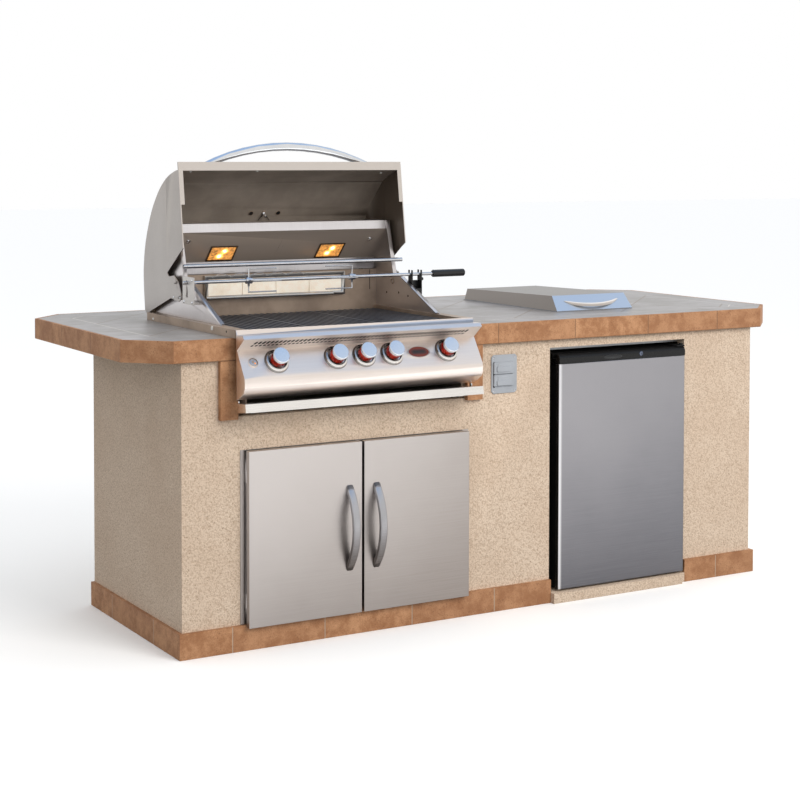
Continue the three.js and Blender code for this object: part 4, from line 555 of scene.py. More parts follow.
dress(DOOR_STEEL, "door_left", "door_right", width=1.0)
dress(DOOR_STEEL, "door_frame")
dress(TRAY_STEEL, "drip_tray", width=0.8)
dress(PAN_STEEL, "side_burner_pan")
dress(BRACKET_STEEL, "motor_bracket", width=0.5)
dress(BLACK_PLASTIC, "rod_bracket", width=0.5)
dress(BLACK_PLASTIC, "rod_handle")
dress(GRIP_STEEL, "door_handle_left", "door_handle_right", crease=50)
dress(CHROME, "hood_handle", crease=50)
dress(BRIGHT_WIRE, "upper_rail", "rotisserie_rod", "fork_left", "fork_right", crease=50)

# %% [markdown]
# ## New pieces from grids
# The small fittings are surfaces of two parameters: a grid of points, each row a ring, from one
# pole to the other. Closing the poles makes a skin without holes, and many copies can share one
# mesh, as screws do. Most of them are a flat outline given a thickness, or a profile turned about
# an axis, so each of these has a function that sets it on every spot that needs one.


# %% Places and skins
class Spot:
    """A flat place: a point of the frame, and the directions out of it, across it and up it."""

    def __init__(self, origin, out=FRONT, across=X):
        self.origin, self.out, self.across = (np.array(v, float) for v in (origin, out, across))
        self.up = np.cross(self.out, self.across)

    def place(self, points):
        """Millimetres across, up and out as points of the frame."""
        ways = np.stack([self.across, self.up, self.out])
        return self.origin + MM * np.asarray(points, float) @ ways

    def moved(self, across, up, out=0.0):
        """The spot so many millimetres away that faces the same way."""
        return Spot(self.place([across, up, out]), self.out, self.across)


def left_spot(x, y, z):
    """A spot on a face that looks left."""
    return Spot(at(x, y, z), LEFT, -Y)


def skin(name, grids, material, body="island", ring=False, open_edges=False, crease=40):
    """Skins from grids of points, (copies, rows, columns, 3). Columns go round, unless the edges
    are open, and so do a ring's rows."""
    grids = np.asarray(grids, float)
    copies, rows, columns, _ = grids.shape
    row = np.arange(rows if ring else rows - 1)[:, None]
    column = np.arange(columns - 1 if open_edges else columns)[None, :]
    below, beside = (row + 1) % rows, (column + 1) % columns
    corners = [(row, column), (below, column), (below, beside), (row, beside)]
    quads = np.stack([i * columns + j for i, j in corners], axis=-1).reshape(-1, 4)
    faces = quads[None] + (np.arange(copies) * rows * columns)[:, None, None]
    mesh = bpy.data.meshes.new(name)
    mesh.from_pydata(grids.reshape(-1, 3).tolist(), [], faces.reshape(-1, 4).tolist())
    return settle(mesh, material, body, crease)


# %% Turned pieces
def circle(count):
    """Points evenly round a circle of radius 1."""
    turn = np.linspace(0, 2 * np.pi, count, endpoint=False)
    return np.column_stack([np.cos(turn), np.sin(turn)])


def turned(spot, profile, sides, oval=1.0):
    """Grid of a profile of (radius, height) turned about a spot's outward axis:
    point = height * out + radius * (oval * cos a * across + sin a * up)."""
    radius, height = np.array(profile, float).T[:, :, None]
    cos, sin = circle(sides).T
    return spot.place(np.stack([oval * radius * cos, radius * sin, height + 0 * cos], axis=-1))


def disc(radius, bottom, top):
    """Profile of a flat disc."""
    return [(0, bottom), (radius, bottom), (radius, top), (0, top)]


def dome(radius, height, foot=0.0):
    """Profile of a low domed head: a quarter of an ellipse above its foot."""
    turn = np.linspace(0, np.pi / 2, 5)
    arc = np.column_stack([radius * np.cos(turn), foot + height * np.sin(turn)])
    return [(0, 0), (radius, 0), *arc.tolist()]


def rounds(name, spots, profile, material, body="island", sides=16, oval=1.0):
    """One profile turned at many spots, as one piece."""
    return skin(name, [turned(spot, profile, sides, oval) for spot in spots], material, body)


def heads(name, spots, radius, height, material, body="island"):
    """Domed screw heads at many spots, as one piece."""
    return rounds(name, spots, dome(radius, height), material, body, 14)


def rings(name, spots, middle, bead, material, body="island", sides=24, oval=1.0, points=8):
    """Rings at many spots, as one piece: a bead of two half sizes turned about the outward axis,
    its middle at a radius and a height."""
    profile = middle + bead * circle(points)
    grids = [turned(spot, profile, sides, oval) for spot in spots]
    return skin(name, grids, material, body, ring=True, crease=70)


# %% Plates
def outline_plate(spot, outline, bottom, top, inset=0.0):
    """Grid of a flat outline, (n, 2), from bottom to top, its top edge drawn in by an inset and
    its faces closed at their middle: middle, bottom edge, top edge, drawn edge, middle."""
    outline = np.array(outline, float)
    middle = outline.mean(axis=0)
    reach = np.linalg.norm(outline - middle, axis=1).max()
    drawn = middle + (outline - middle) * (1 - inset / reach)
    centre = middle + 0 * outline
    rows = [(centre, bottom), (outline, bottom), (outline, top - inset), (drawn, top),
            (centre, top)]
    return spot.place([np.column_stack([row, 0 * row[:, 0] + height]) for row, height in rows])


def plates(name, spots, outlines, depth, material, body="island", inset=0.0):
    """Outlines as plates at many spots, from a bottom to a top, as one piece."""
    grids = [outline_plate(spot, outline, *depth, inset) for spot in spots for outline in outlines]
    return skin(name, grids, material, body)


def bar(width, height):
    """Corners of a rectangle about its middle."""
    return np.array([(-1, -1), (1, -1), (1, 1), (-1, 1)]) * (width / 2, height / 2)


def rounded(width, height, radius, corners=4):
    """Points of a rectangle with round corners about its middle: one quarter circle after
    another, each a quarter turn on."""
    turn = np.linspace(0, np.pi / 2, corners)
    starts = [((1, 1), 0), ((-1, 1), 1), ((-1, -1), 2), ((1, -1), 3)]
    corner = np.array([width / 2 - radius, height / 2 - radius])
    arcs = [corner * sides + radius * np.column_stack([np.cos(turn + quarter * np.pi / 2),
                                                       np.sin(turn + quarter * np.pi / 2)])
            for sides, quarter in starts]
    return np.vstack(arcs)


# %% Wires
def smooth_path(points, steps):
    """A curve through points: between each pair a Catmull-Rom cubic, read at even steps."""
    p = np.array(points, float)
    p = np.vstack([2 * p[0] - p[1], p, 2 * p[-1] - p[-2]])
    t = np.linspace(0, len(p) - 3, steps)
    i = np.minimum(t.astype(int), len(p) - 4)
    u = (t - i)[:, None]
    a, b, c, d = p[i], p[i + 1], p[i + 2], p[i + 3]
    square, cube = 2 * a - 5 * b + 4 * c - d, 3 * b - a - 3 * c + d
    return 0.5 * (2 * b + (c - a) * u + square * u**2 + cube * u**3)


def wire(points, radius, sides=10, steps=40, hint=(0.1, 0.2, 1)):
    """Grid of a round wire along points of the frame: a ring at each step, square to the path."""
    path = smooth_path(points, steps)
    along = np.gradient(path, axis=0)
    along /= np.linalg.norm(along, axis=1, keepdims=True)
    side = np.cross(along, hint)
    side /= np.linalg.norm(side, axis=1, keepdims=True)
    up = np.cross(side, along)
    cos, sin = circle(sides).T[:, None, :, None]
    hoops = path[:, None] + radius * MM * (cos * side[:, None] + sin * up[:, None])
    start, end = (np.repeat(path[i, None, None], sides, axis=1) for i in (0, -1))
    return np.concatenate([start, hoops, end])


# %% [markdown]
# ## The control panel
# The panel is one folded sheet. Its knobs are red, with bright caps and a faint painted glow in
# the red, and stand in polished rings that carry a painted reflection, with painted shade in the
# groove round them. A bare oval badge has a bright rim, and a lamp button sits at the left; the
# orange dot of its lamp mark has a painted glow. The slanted strip under the top lip has two rows
# of slanted vent slots, drawn as near-black plates of painted shade. The face's own frame comes
# from the middle knob's joint, so everything on it follows the CAD.

# %% Panel finishes
PANEL = Spot(JOINTS["knob_3_turn"]["pos_m"], JOINTS["knob_3_turn"]["axis"])
KNOBS = [JOINTS[f"knob_{i}_turn"]["pos_m"][0] for i in range(1, 6)]
BEZEL_OUTER, BEZEL_INNER = 37.3 * MM, 27 * MM
STRIP_FOOT = 878 * MM
STEM_TOP, CAP_FOOT = 8.5 * MM, 30 * MM


def on_face(place):
    """Distances across, up and out of the panel's face as fields."""
    x, y, z = place.parts()
    y, z = y - PANEL.origin[1], z - PANEL.origin[2]
    return x, y * PANEL.up[1] + z * PANEL.up[2], y * PANEL.out[1] + z * PANEL.out[2]


def paint_panel(place, facing):
    looks = brushed((228, 217, 210), (238, 228, 221), 0.33)(place, facing)
    x, up, out = on_face(place)
    underside = (0 - facing.parts()[2]).rise(0.5, 0.7)
    strip = underside * place.parts()[2].rise(STRIP_FOOT, STRIP_FOOT + 2 * MM)
    sheet = strip.blend(looks["Base Color"], tone(228, 217, 208))
    nearest = reduce(Field.smaller, [length(x - knob, up) for knob in KNOBS])
    # The ring gets a painted reflection, pale below and dark above, and painted shade darkens its
    # inner edge and the groove round it.
    on_ring = 1 - nearest.rise(BEZEL_OUTER, BEZEL_OUTER + 0.4 * MM)
    polished = on_ring * out.rise(0.1 * MM, 0.4 * MM)
    shadow = nearest.between(BEZEL_INNER - 1.5 * MM, BEZEL_INNER + 1.0 * MM, 0.6 * MM) * polished
    groove_shade = nearest.between(BEZEL_OUTER - 2.2 * MM, BEZEL_OUTER + 0.6 * MM, 0.5 * MM)
    lit = up.rise(-34 * MM, 34 * MM).blend(tone(232, 228, 224), tone(96, 92, 92))
    ringed = polished.blend(sheet, lit)
    looks["Base Color"] = (shadow * 0.8).larger(groove_shade * 0.6).blend(ringed, tone(40, 37, 37))
    looks["Roughness"] = (looks["Roughness"] + strip * 0.22) * (1 - polished * 0.6)
    looks["Metallic"] = 1 - strip * 0.4
    return looks


def paint_knob(place, facing):
    _, _, out = on_face(place)
    cap, stem = out.rise(CAP_FOOT, CAP_FOOT + 0.3 * MM), 1 - out.rise(STEM_TOP, STEM_TOP + 0.7 * MM)
    ring = stem * (1 - out.between(6.2 * MM, 9.5 * MM, 0.4 * MM))
    grime, glow = place.noise(60, 3), place.noise(75, 2).rise(0.35, 0.65)
    red = glow.blend(tone(110, 12, 6), tone(206, 50, 24))
    body = stem.blend(red, ring.blend(tone(34, 31, 31), tone(206, 202, 199)))
    return {"Base Color": cap.blend(body, tone(214, 219, 226)),
            "Metallic": cap.larger(ring) * 0.97, "Roughness": 0.12 + cap * 0.06 + grime * 0.04,
            # The red body is given a faint painted glow.
            "Emission Color": cap.larger(stem).blend(tone(110, 14, 6), (0, 0, 0, 1)),
            "Emission Strength": 0.25, "Normal": grime.bump(0.0001, 0.05)}


dress(finish("panel_face", paint_panel), "control_panel", crease=24)
dress(finish("knob", paint_knob), *[f"knob_{i}" for i in range(1, 6)], crease=18)

# %% Vent slots, badge and lamp button
LIP_FRONT, FACE_TOP = np.array([-91.8, 916.1]), np.array([-45.9, 880.9])
STRIP_DOWN = (FACE_TOP - LIP_FRONT) / np.linalg.norm(FACE_TOP - LIP_FRONT)
STRIP = Spot(at(555, *(LIP_FRONT + FACE_TOP) / 2), (0, STRIP_DOWN[1], -STRIP_DOWN[0]))
SLOT_PITCH, SLOT_COUNT, ROW_LEVEL = 13.2, 55, 7.2
SLOT_LEAN = np.array([[1, 0], [0.45, 1]])
long_slot, short_slot = rounded(7.6, 13, 2.6, 3) @ SLOT_LEAN, rounded(7, 7, 2.4, 3) @ SLOT_LEAN
middles = (np.arange(SLOT_COUNT) - (SLOT_COUNT - 1) / 2) * SLOT_PITCH
slots = [long_slot + (x, ROW_LEVEL) for x in middles]
slots += [short_slot + (x - SLOT_PITCH / 2, -ROW_LEVEL) for x in middles]
# The slots are not cut: thin near-black plates on the strip are painted shade for the openings.
plates("vent_slots", [STRIP], slots, (-0.4, 0.25), finish("vent_painted_shade", moulded((4, 4, 4), 0.95)))

BADGE, BADGE_OVAL = PANEL.moved(188, 0, 2), 81 / 40
rings("badge_rim", [BADGE], (18.2, 0.6), (1.0, 1.2), BRACKET_STEEL, sides=48, oval=BADGE_OVAL,
      points=10)


def paint_badge(place, facing):
    x, up, _ = on_face(place)
    clouds, aside = place.noise(70, 3), abs(x - BADGE.origin[0])
    middle = (1 - abs(up).rise(2 * MM, 13 * MM)) * (1 - aside.rise(16 * MM, 36 * MM))
    shade = (middle * 0.9 + clouds * 0.1).blend(tone(104, 36, 20), tone(20, 19, 21))
    return {"Base Color": shade, "Roughness": 0.4, "Coat Weight": 0.1,
            "Normal": clouds.bump(0.0002, 0.2)}


rounds("badge_enamel", [BADGE], [(0, 0), (17.2, 0), (17.2, 0.7), (12, 1.1), (6, 1.3), (0, 1.4)],
       finish("badge_enamel", paint_badge), sides=48, oval=BADGE_OVAL)


# The orange dot of the lamp mark is given a painted glow.
def paint_dot_glow(place, facing):
    warm = place.noise(300, 2).blend(tone(220, 110, 30), tone(244, 150, 60))
    return {"Base Color": warm, "Roughness": 0.3, "Emission Color": warm, "Emission Strength": 0.6}


BUTTON = PANEL.moved(-363, 0, 4)
dress(PANEL_STEEL, "light_button")
bulb = np.array([(0, 5.2), (3.4, 3.6), (4.2, 0.6), (2.6, -2.0), (1.9, -4.6), (-1.9, -4.6),
                 (-2.6, -2.0), (-4.2, 0.6), (-3.4, 3.6)])
plates("lamp_mark", [BUTTON], [bulb * 0.9 + (-1.5, 0.8)], (-0.3, 0.25), HEAT_STEEL, "light_button")
heads("lamp_mark_dot", [BUTTON.moved(4.5, -3.5)], 2.4, 1.0, finish("dot_painted_glow", paint_dot_glow),
      "light_button")
print(len(slots), "vent slots, and knobs at", [round(x, 3) for x in KNOBS])

# %% [markdown]
# ## The hood
# The hood is open, so its inside shows: steel browned by smoke and heat, with painted shade on
# its right hand side. Its front lip has a painted highlight, and the same sheet is clean outside.
# The way a face looks, against the way to the hood's middle, tells the two apart, because the
# inside of a curved skin always looks towards its own middle.

# %% Hood finish
HOOD_LOW, HOOD_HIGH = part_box("hood")
HOOD_MIDDLE = (JOINTS["hood_hinge"]["pos_m"][0], (HOOD_LOW.y + HOOD_HIGH.y) / 2 - 40 * MM,
               (HOOD_LOW.z + HOOD_HIGH.z) / 2)


def paint_hood(place, facing):
    faces = facing.parts()
    outward = [(part - middle) * face
               for part, middle, face in zip(place.parts(), HOOD_MIDDLE, faces)]
    inside = 1 - reduce(Field.__add__, outward).rise(-20 * MM, 20 * MM)
    streaks, patches = place.scratches((4, 500, 500)), place.noise(5, 3)
    smoke = place.noise(8, 4, 0.6).rise(0.3, 0.75)
    clean = (streaks * 0.6 + patches * 0.4).rise(0.3, 0.7).blend(tone(156, 150, 146),
                                                                 tone(174, 169, 165))
    stained = smoke.blend(tone(160, 148, 136), tone(184, 171, 158))
    # Inside faces that look left, on the right hand side, get painted shade; the front lip outside
    # gets a painted highlight.
    shaded = (0 - faces[0]).rise(0.5, 0.9).blend(stained, tone(104, 92, 81))
    lip_highlight = (0 - faces[1]).rise(0.75, 0.95) * (1 - inside)
    return {"Base Color": lip_highlight.blend(inside.blend(clean, shaded), tone(208, 200, 193)),
            "Metallic": 1 - inside * 0.6, "Roughness": 0.27 + streaks * 0.1 + inside * 0.1,
            "Normal": streaks.bump(0.0002, 0.12)}


dress(finish("hood_sheet", paint_hood), "hood", crease=28)

# %% Screws, holes and wires of the hood
LIP_SCREWS = [Spot(at(*point), (0, -0.25, -0.968))
              for point in ((209.7, 412.5, 1388.3), (433.3, 403.6, 1389.6), (900.3, 435.6, 1382))]
heads("lip_screws", LIP_SCREWS, 4.2, 3.0, WHITE_ENAMEL, "hood")
SKIN_OUT = np.array([0, -0.841, -0.541])
HOLES = [Spot(at(x, 611, 1248.5), SKIN_OUT) for x in (510, 609)]
# The holes are dark discs of painted shade.
rounds("hood_holes", HOLES, disc(7.5, -0.5, 0.3), DARK_SLOT, "hood", 20)
rings("hood_hole_rims", HOLES, (8.2, 0.3), (1.1, 1.1), HEAT_STEEL, "hood")
PROBE_END = at(556.5, 603, 1249)
probe_paths = ([PROBE_END, at(548, 612, 1238), at(541, 623, 1224)],
               [PROBE_END, at(566, 612, 1240), at(583, 623, 1224)])
skin("probe_wires", [wire(path, 0.9) for path in probe_paths], DARK_SLOT, "hood", crease=60)
plates("probe_nut", [Spot(at(556, 609.5, 1253), SKIN_OUT)], [7 * circle(6)], (-2, 4), HEAT_STEEL,
       "hood", 0.8)
heads("hood_rivets", [left_spot(160, 432, 999.7), left_spot(160, 381, 1001.2)], 3.4, 1.8, CHROME,
      "hood")

# %% [markdown]
# ## The thermometer
# Its case is on the outside of the hood, so it is seen from behind while the hood is open. It has
# a white dial with ticks and a needle. The dial's frame is read off the case: the two points of
# its middle section that lie furthest apart are the ends of a diameter.


# %% Thermometer
def corners_of(node):
    """A node's corners as an array of points."""
    vertices = NODES[node].data.vertices
    points = np.empty(3 * len(vertices))
    vertices.foreach_get("co", points)
    return points.reshape(-1, 3)


def tick(angle, inner, outer, half):
    """Outline of a tick: a bar from one radius to another, at an angle from straight up."""
    side, along = (math.cos(angle), -math.sin(angle)), (math.sin(angle), math.cos(angle))
    outline = np.array([(-half, inner), (-half, outer), (half, outer), (half, inner)])
    return outline @ np.array([side, along])


dress(CHROME, "thermometer", crease=40)
corners = corners_of("thermometer")
section = corners[abs(corners[:, 0] - np.median(corners[:, 0])) < 0.4 * MM]
apart = np.linalg.norm(section[:, None] - section[None], axis=2)
one_end, other_end = section[list(np.unravel_index(apart.argmax(), apart.shape))]
rim_middle = (one_end + other_end) / 2
outwards = np.cross(X, (other_end - one_end) / apart.max())
outwards *= np.sign((rim_middle - corners.mean(axis=0)) @ outwards)
case_depth = ((corners - rim_middle) @ outwards).max()
DIAL = Spot(rim_middle + outwards * (case_depth - 2.4 * MM), outwards)
rounds("dial", [DIAL], disc(31.6, 0, 0.35), WHITE_ENAMEL, "hood", 48)
sweep = np.radians(np.linspace(-135, 135, 28))
ticks = [tick(angle, 24, 30, 0.8) if i % 3 == 0 else tick(angle, 27, 30, 0.4)
         for i, angle in enumerate(sweep)]
plates("dial_ticks", [DIAL], ticks, (0.3, 0.5), DARK_SLOT, "hood")
NEEDLE_TURN = np.array([[0.62, 0.785], [-0.785, 0.62]])
needle = np.array([(-1.6, -7), (1.6, -7), (0.5, 25), (-0.5, 25)]) @ NEEDLE_TURN
plates("dial_needle", [DIAL], [needle], (0.7, 1.0),
       finish("needle_red", moulded((176, 34, 26), 0.4)), "hood")
rounds("dial_hub", [DIAL], dome(3, 1.2, 0.3), CHROME, "hood")
print("dial of", round(apart.max() / MM, 1), "mm at", DIAL.origin.round(3).tolist())

# %% [markdown]
# ## The cooking space
# Behind the grates stand the sloping housing with its two lamps, the ceramic rear burner, and a
# round rail. The lamp glass is pressed with small pyramids, so its pane is a grid with a pyramid
# in each cell. Two bulbs glow behind each pane, so the glass is brightest near them.

# %% Housing and lamps
SLOPE_OUT = np.array([0, -1, -1]) / math.sqrt(2)
LAMP_WIDTH, LAMP_HEIGHT, PYRAMIDS, GLASS = 83.0, 58.0, (14, 10), 0.2 * MM
BULBS = ((6, 11, 0), (-6, -12, 0))


def paint_housing(place, facing):
    looks = brushed((205, 200, 200), (220, 216, 216), 0.3, (700, 5, 5))(place, facing)
    # Faces that look down are painted darker and less metallic.
    facing_down = (0 - facing.parts()[2]).rise(0.3, 0.6)
    looks["Base Color"] = facing_down.blend(looks["Base Color"], tone(176, 162, 150))
    looks["Metallic"] = 1 - facing_down * 0.6
    return looks


def paint_lamp_frame(place, facing):
    soot = place.noise(90, 3).blend(tone(96, 84, 72), tone(140, 126, 110))
    return {"Base Color": soot, "Metallic": 1.0, "Roughness": 0.35}


def lamp_spot(node):
    """The middle of a lamp's slanted face."""
    middle = np.array(sum(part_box(node), Vector()) / 2)
    reach = (corners_of(node) @ SLOPE_OUT).max() - middle @ SLOPE_OUT
    return Spot(middle + SLOPE_OUT * reach, SLOPE_OUT)


def paint_lamp_glass(place, facing):
    bulbs = [spot.place(bulb) for spot in LAMPS for bulb in BULBS]
    reaches = [length(*(part - p for part, p in zip(place.parts(), bulb))) for bulb in bulbs]
    glow = reduce(Field.__add__, [1 - reach.rise(1 * MM, 19 * MM) for reach in reaches])
    ripple = place.noise(120, 3, 0.6)
    warm = (glow * 0.6 + ripple * 0.5).ramp(
        (0.15, tone(96, 66, 36)), (0.42, tone(196, 132, 62)),
        (0.66, tone(255, 196, 104)), (0.85, tone(255, 250, 228)))
    return {"Base Color": warm, "Roughness": 0.15, "Coat Weight": 0.5, "Emission Color": warm,
            "Emission Strength": 2.2}


def pyramid_pane(spot):
    """Grid of a pane pressed with pyramids: height = floor + rise * (1 - the larger of two
    triangle waves)."""
    u, v = (np.linspace(0, 1, 4 * count + 1) for count in PYRAMIDS)
    wave_u, wave_v = (abs((line * count) % 1 - 0.5) * 2 for line, count in zip((u, v), PYRAMIDS))
    height = -0.75 + 0.7 * (1 - np.maximum(wave_u[None, :], wave_v[:, None]))
    across, up = np.meshgrid((u - 0.5) * LAMP_WIDTH, (v - 0.5) * LAMP_HEIGHT)
    return spot.place(np.stack([across, up, height], axis=-1))


dress(finish("housing_steel", paint_housing), "rear_housing", crease=30)
wear(finish("lamp_frame", paint_lamp_frame), "lamp_left", "lamp_right")
LAMPS = [lamp_spot("lamp_left"), lamp_spot("lamp_right")]
LAMP_GLASS = finish("lamp_glass", paint_lamp_glass)
for side, spot in zip(("left", "right"), LAMPS):
    pane = skin(f"lamp_glass_{side}", [pyramid_pane(spot)], LAMP_GLASS, open_edges=True, crease=20)
    wall = pane.modifiers.new("wall", "SOLIDIFY")
    wall.thickness, wall.offset = GLASS, -1

print("lamps at", [spot.origin.round(3).tolist() for spot in LAMPS])

# %% Bolts and holes of the housing, its shields and the rim
HOUSING_BOLTS = [Spot(at(*point), SLOPE_OUT)
                 for point in ((223.5, 463.8, 1171.2), (878, 469.7, 1165.3))]
heads("housing_bolts", HOUSING_BOLTS, 5.0, 4.0, BRIGHT_WIRE)
WING_TURN = np.array([[0.7, 0.7], [-0.7, 0.7]])
wing = np.array([(-8, 1), (-2.4, -2.4), (2.4, -2.4), (8, 1), (8, 4), (2.4, 1.6), (-2.4, 1.6),
                 (-8, 4)])
plates("housing_wings", HOUSING_BOLTS, [wing @ WING_TURN], (3.0, 7.5), BRIGHT_WIRE, inset=0.6)
SHIELD = 931
shield_spots = [left_spot(SHIELD, y, z)
                for y, z in ((370, 989), (310, 982), (449, 985), (425, 1090))]
# The shield's holes and the seam beside the chamber are dark plates of painted shade.
rounds("shield_holes", shield_spots, disc(3.6, -0.4, 0.2), DARK_SLOT)
rings("shield_ring", [left_spot(SHIELD, 410.5, 1024.4)], (7.6, 1.2), (1.8, 1.8), HEAT_STEEL)
plates("chamber_seam", [Spot(at(906, 520, 1025))], [bar(2.4, 68)], (-0.2, 0.3), DARK_SLOT)
RIM = (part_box("grill_firebox")[0].x - CORNER.x) / MM
heads("rim_bolt", [left_spot(RIM, 578.7, 921)], 4.6, 2.4, WHITE_ENAMEL)
plates("rim_tab", [left_spot(RIM, 124, 931)], [rounded(9, 12, 2)], (-0.3, 3.2), WHITE_ENAMEL,
       inset=0.7)
# The rim's hole is a dark disc of painted shade.
rounds("rim_hole", [left_spot(RIM, 26.7, 929)], disc(3.4, -0.4, 0.2), DARK_SLOT)
bracket_spots = [left_spot(148, y, z) for y, z in ((262, 995), (322, 995), (262, 1062))]
heads("bracket_bolts", bracket_spots, 4.2, 2.6, CHROME)

# %% [markdown]
# ## The rear burner
# Four ceramic plaques stand behind the spit. Each is pierced with hundreds of fine holes, too
# small and too many to model, so a dot pattern paints shade into the holes and dents them, and a
# faint painted glow brightens the plaques. The frame and its tube are one node: what stands in
# front of the frame is the tube, and it is polished.

# %% Rear burner
TUBE_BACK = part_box("rear_burner")[1].y - 12.4 * MM
PLAQUE_PITCH, PLAQUE_SIZE, DOT_PITCH = 120.5, (118.5, 52.0), 3.4 * MM
DOT_SMALL, DOT_LARGE = 0.7 * MM, 1.0 * MM


def paint_burner_frame(place, facing):
    looks = brushed((196, 192, 186), (214, 211, 205), 0.3)(place, facing)
    tube = 1 - place.parts()[1].rise(TUBE_BACK, TUBE_BACK + 0.4 * MM)
    looks["Roughness"] = looks["Roughness"] * (1 - tube * 0.55)
    return looks


def paint_plaque(place, facing):
    x, _, z = place.parts()
    u, v = (abs(part % DOT_PITCH - DOT_PITCH / 2) for part in (x, z))
    hole = 1 - (u * u + v * v).rise(DOT_SMALL**2, DOT_LARGE**2)
    soot = place.noise(22, 4, 0.6)
    cream = soot.rise(0.35, 0.75).blend(tone(250, 244, 232), tone(236, 224, 204))
    # Dark dots are painted shade in the holes, and the faint emission is a painted glow.
    return {"Base Color": (hole * 0.5).blend(cream, tone(170, 150, 128)), "Roughness": 0.9,
            "Emission Color": tone(250, 226, 198), "Emission Strength": 0.16,
            "Normal": (1 - hole).bump(0.0006, 0.5)}


dress(finish("rear_burner_frame", paint_burner_frame), "rear_burner", crease=40)
PLAQUE = finish("ceramic_plaque", paint_plaque)
for i in range(4):
    plaque_spot = Spot(at(552.5 + (i - 1.5) * PLAQUE_PITCH, 514.7, 1018))
    plates(f"plaque_{i + 1}", [plaque_spot], [rounded(*PLAQUE_SIZE, 2)], (0.1, 3.6), PLAQUE,
           inset=0.8)

scallop = np.linspace(0, 1, 61)
guard = at(322, 504, 1050) + MM * np.stack(
    [330 * scallop, 0 * scallop, 11 * abs(np.sin(5 * np.pi * scallop))], axis=-1)
skin("burner_guard", [wire(guard, 1.3, 8, 150, (0, 1, 0))], BRIGHT_WIRE, crease=70)

# %% [markdown]
# ## The side burner's cover
# The cover is a shallow steel tray turned over, with a sloping front and a bowed handle. Its top
# is dark, its sides have painted shade, its slope a pale painted reflection and its handle a
# painted highlight, so the paint asks which way a face looks, and takes whatever stands proud of
# the slope as the handle.

# %% Side burner cover
lid_faces = NODES["side_burner_lid"].data.polygons
slope_face = max((face for face in lid_faces if face.normal.y < -0.3 and face.normal.z > 0.2),
                 key=lambda face: face.area)
SLOPE_NORMAL, SLOPE_REACH = slope_face.normal.copy(), slope_face.normal.dot(slope_face.center)


def paint_lid(place, facing):
    looks = brushed((92, 90, 91), (108, 105, 105), 0.3)(place, facing)
    face_x, face_y, _ = facing.parts()
    _, y, z = place.parts()
    side, slope = abs(face_x).rise(0.6, 0.9), (0 - face_y).rise(0.3, 0.6)
    proud = y * SLOPE_NORMAL.y + z * SLOPE_NORMAL.z - SLOPE_REACH
    handle = proud.rise(1 * MM, 3 * MM)
    # Sides get painted shade, the slope a pale painted reflection of the sky, and the handle a
    # painted highlight.
    slope_reflection = slope.blend(looks["Base Color"], tone(206, 212, 220))
    faces = side.blend(slope_reflection, tone(136, 131, 128))
    looks["Base Color"] = handle.blend(faces, tone(238, 230, 222))
    looks["Metallic"] = 1 - handle * 0.5
    return looks


dress(finish("lid_steel", paint_lid), "side_burner_lid", width=0.7)

# %% [markdown]
# ## The refrigerator
# The door is a bowed steel skin, brushed from side to side, with a painted reflection that
# darkens towards the floor, dark sides and a painted highlight along its rolled edge. Its black
# cap holds a lock and a bare oval place. Inside, the cabinet is lined with white enamel, and the
# door has a grey seal and wire racks. The lining and the outside belong to one node, so the
# paint asks whether a point lies within the cavity.

# %% Refrigerator finishes
FRIDGE_LOW, FRIDGE_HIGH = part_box("fridge_cabinet")
LINER_LOW, LINER_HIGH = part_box("fridge_door_liner")
WALL, CAVITY_FRONT, CABINET_TOP = 24 * MM, CORNER.y + 47 * MM, FRIDGE_LOW.z + 768 * MM
DOOR_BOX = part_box("fridge_door")


def lined(inside, dark, pebble, roughness):
    """Dark outside and white enamel inside, both with a moulded grain."""
    return {"Base Color": inside.blend(tone(*dark), tone(236, 236, 233)),
            "Roughness": roughness, "Normal": pebble.bump(0.0002, 0.3)}


def paint_fridge(place, facing):
    x, y, z = place.parts()
    inside = (x.between(FRIDGE_LOW.x + WALL, FRIDGE_HIGH.x - WALL, 1 * MM)
              * z.between(FRIDGE_LOW.z + WALL, CABINET_TOP - WALL, 1 * MM)
              * y.between(CAVITY_FRONT, FRIDGE_HIGH.y - WALL, 1 * MM))
    return lined(inside, (12, 12, 13), place.noise(500, 2), 0.9 - inside * 0.45)


def paint_door_liner(place, facing):
    x, _, z = place.parts()
    inside = (x.between(LINER_LOW.x + 2 * MM, LINER_HIGH.x - 2 * MM, 1 * MM)
              * z.between(LINER_LOW.z + 2 * MM, LINER_HIGH.z - 2 * MM, 1 * MM))
    pebble = place.noise(400, 2)
    return lined(inside, (14, 14, 15), pebble, 0.4 + pebble * 0.1)


def paint_fridge_door(place, facing):
    steel = steel_with_painted_reflection(DOOR_BOX, (104, 104, 109), (154, 152, 155), 0.85)
    looks, edge = steel(place, facing), DOOR_BOX[0].x
    # A strip along the rolled edge is painted pale as a highlight.
    edge_highlight = 1 - place.parts()[0].rise(edge + 4 * MM, edge + 14 * MM)
    side = abs(facing.parts()[0]).rise(0.75, 0.95)
    front = edge_highlight.blend(looks["Base Color"], tone(214, 212, 214))
    looks["Base Color"] = side.blend(front, tone(15, 14, 14))
    looks["Metallic"] = 1 - side
    return looks


def paint_cap(place, facing):
    looks = moulded((14, 13, 13), 0.22)(place, facing)
    looks["Roughness"] = looks["Roughness"] + facing.parts()[2].rise(0.5, 0.9) * 0.6
    looks["Specular IOR Level"] = 0.3
    return looks


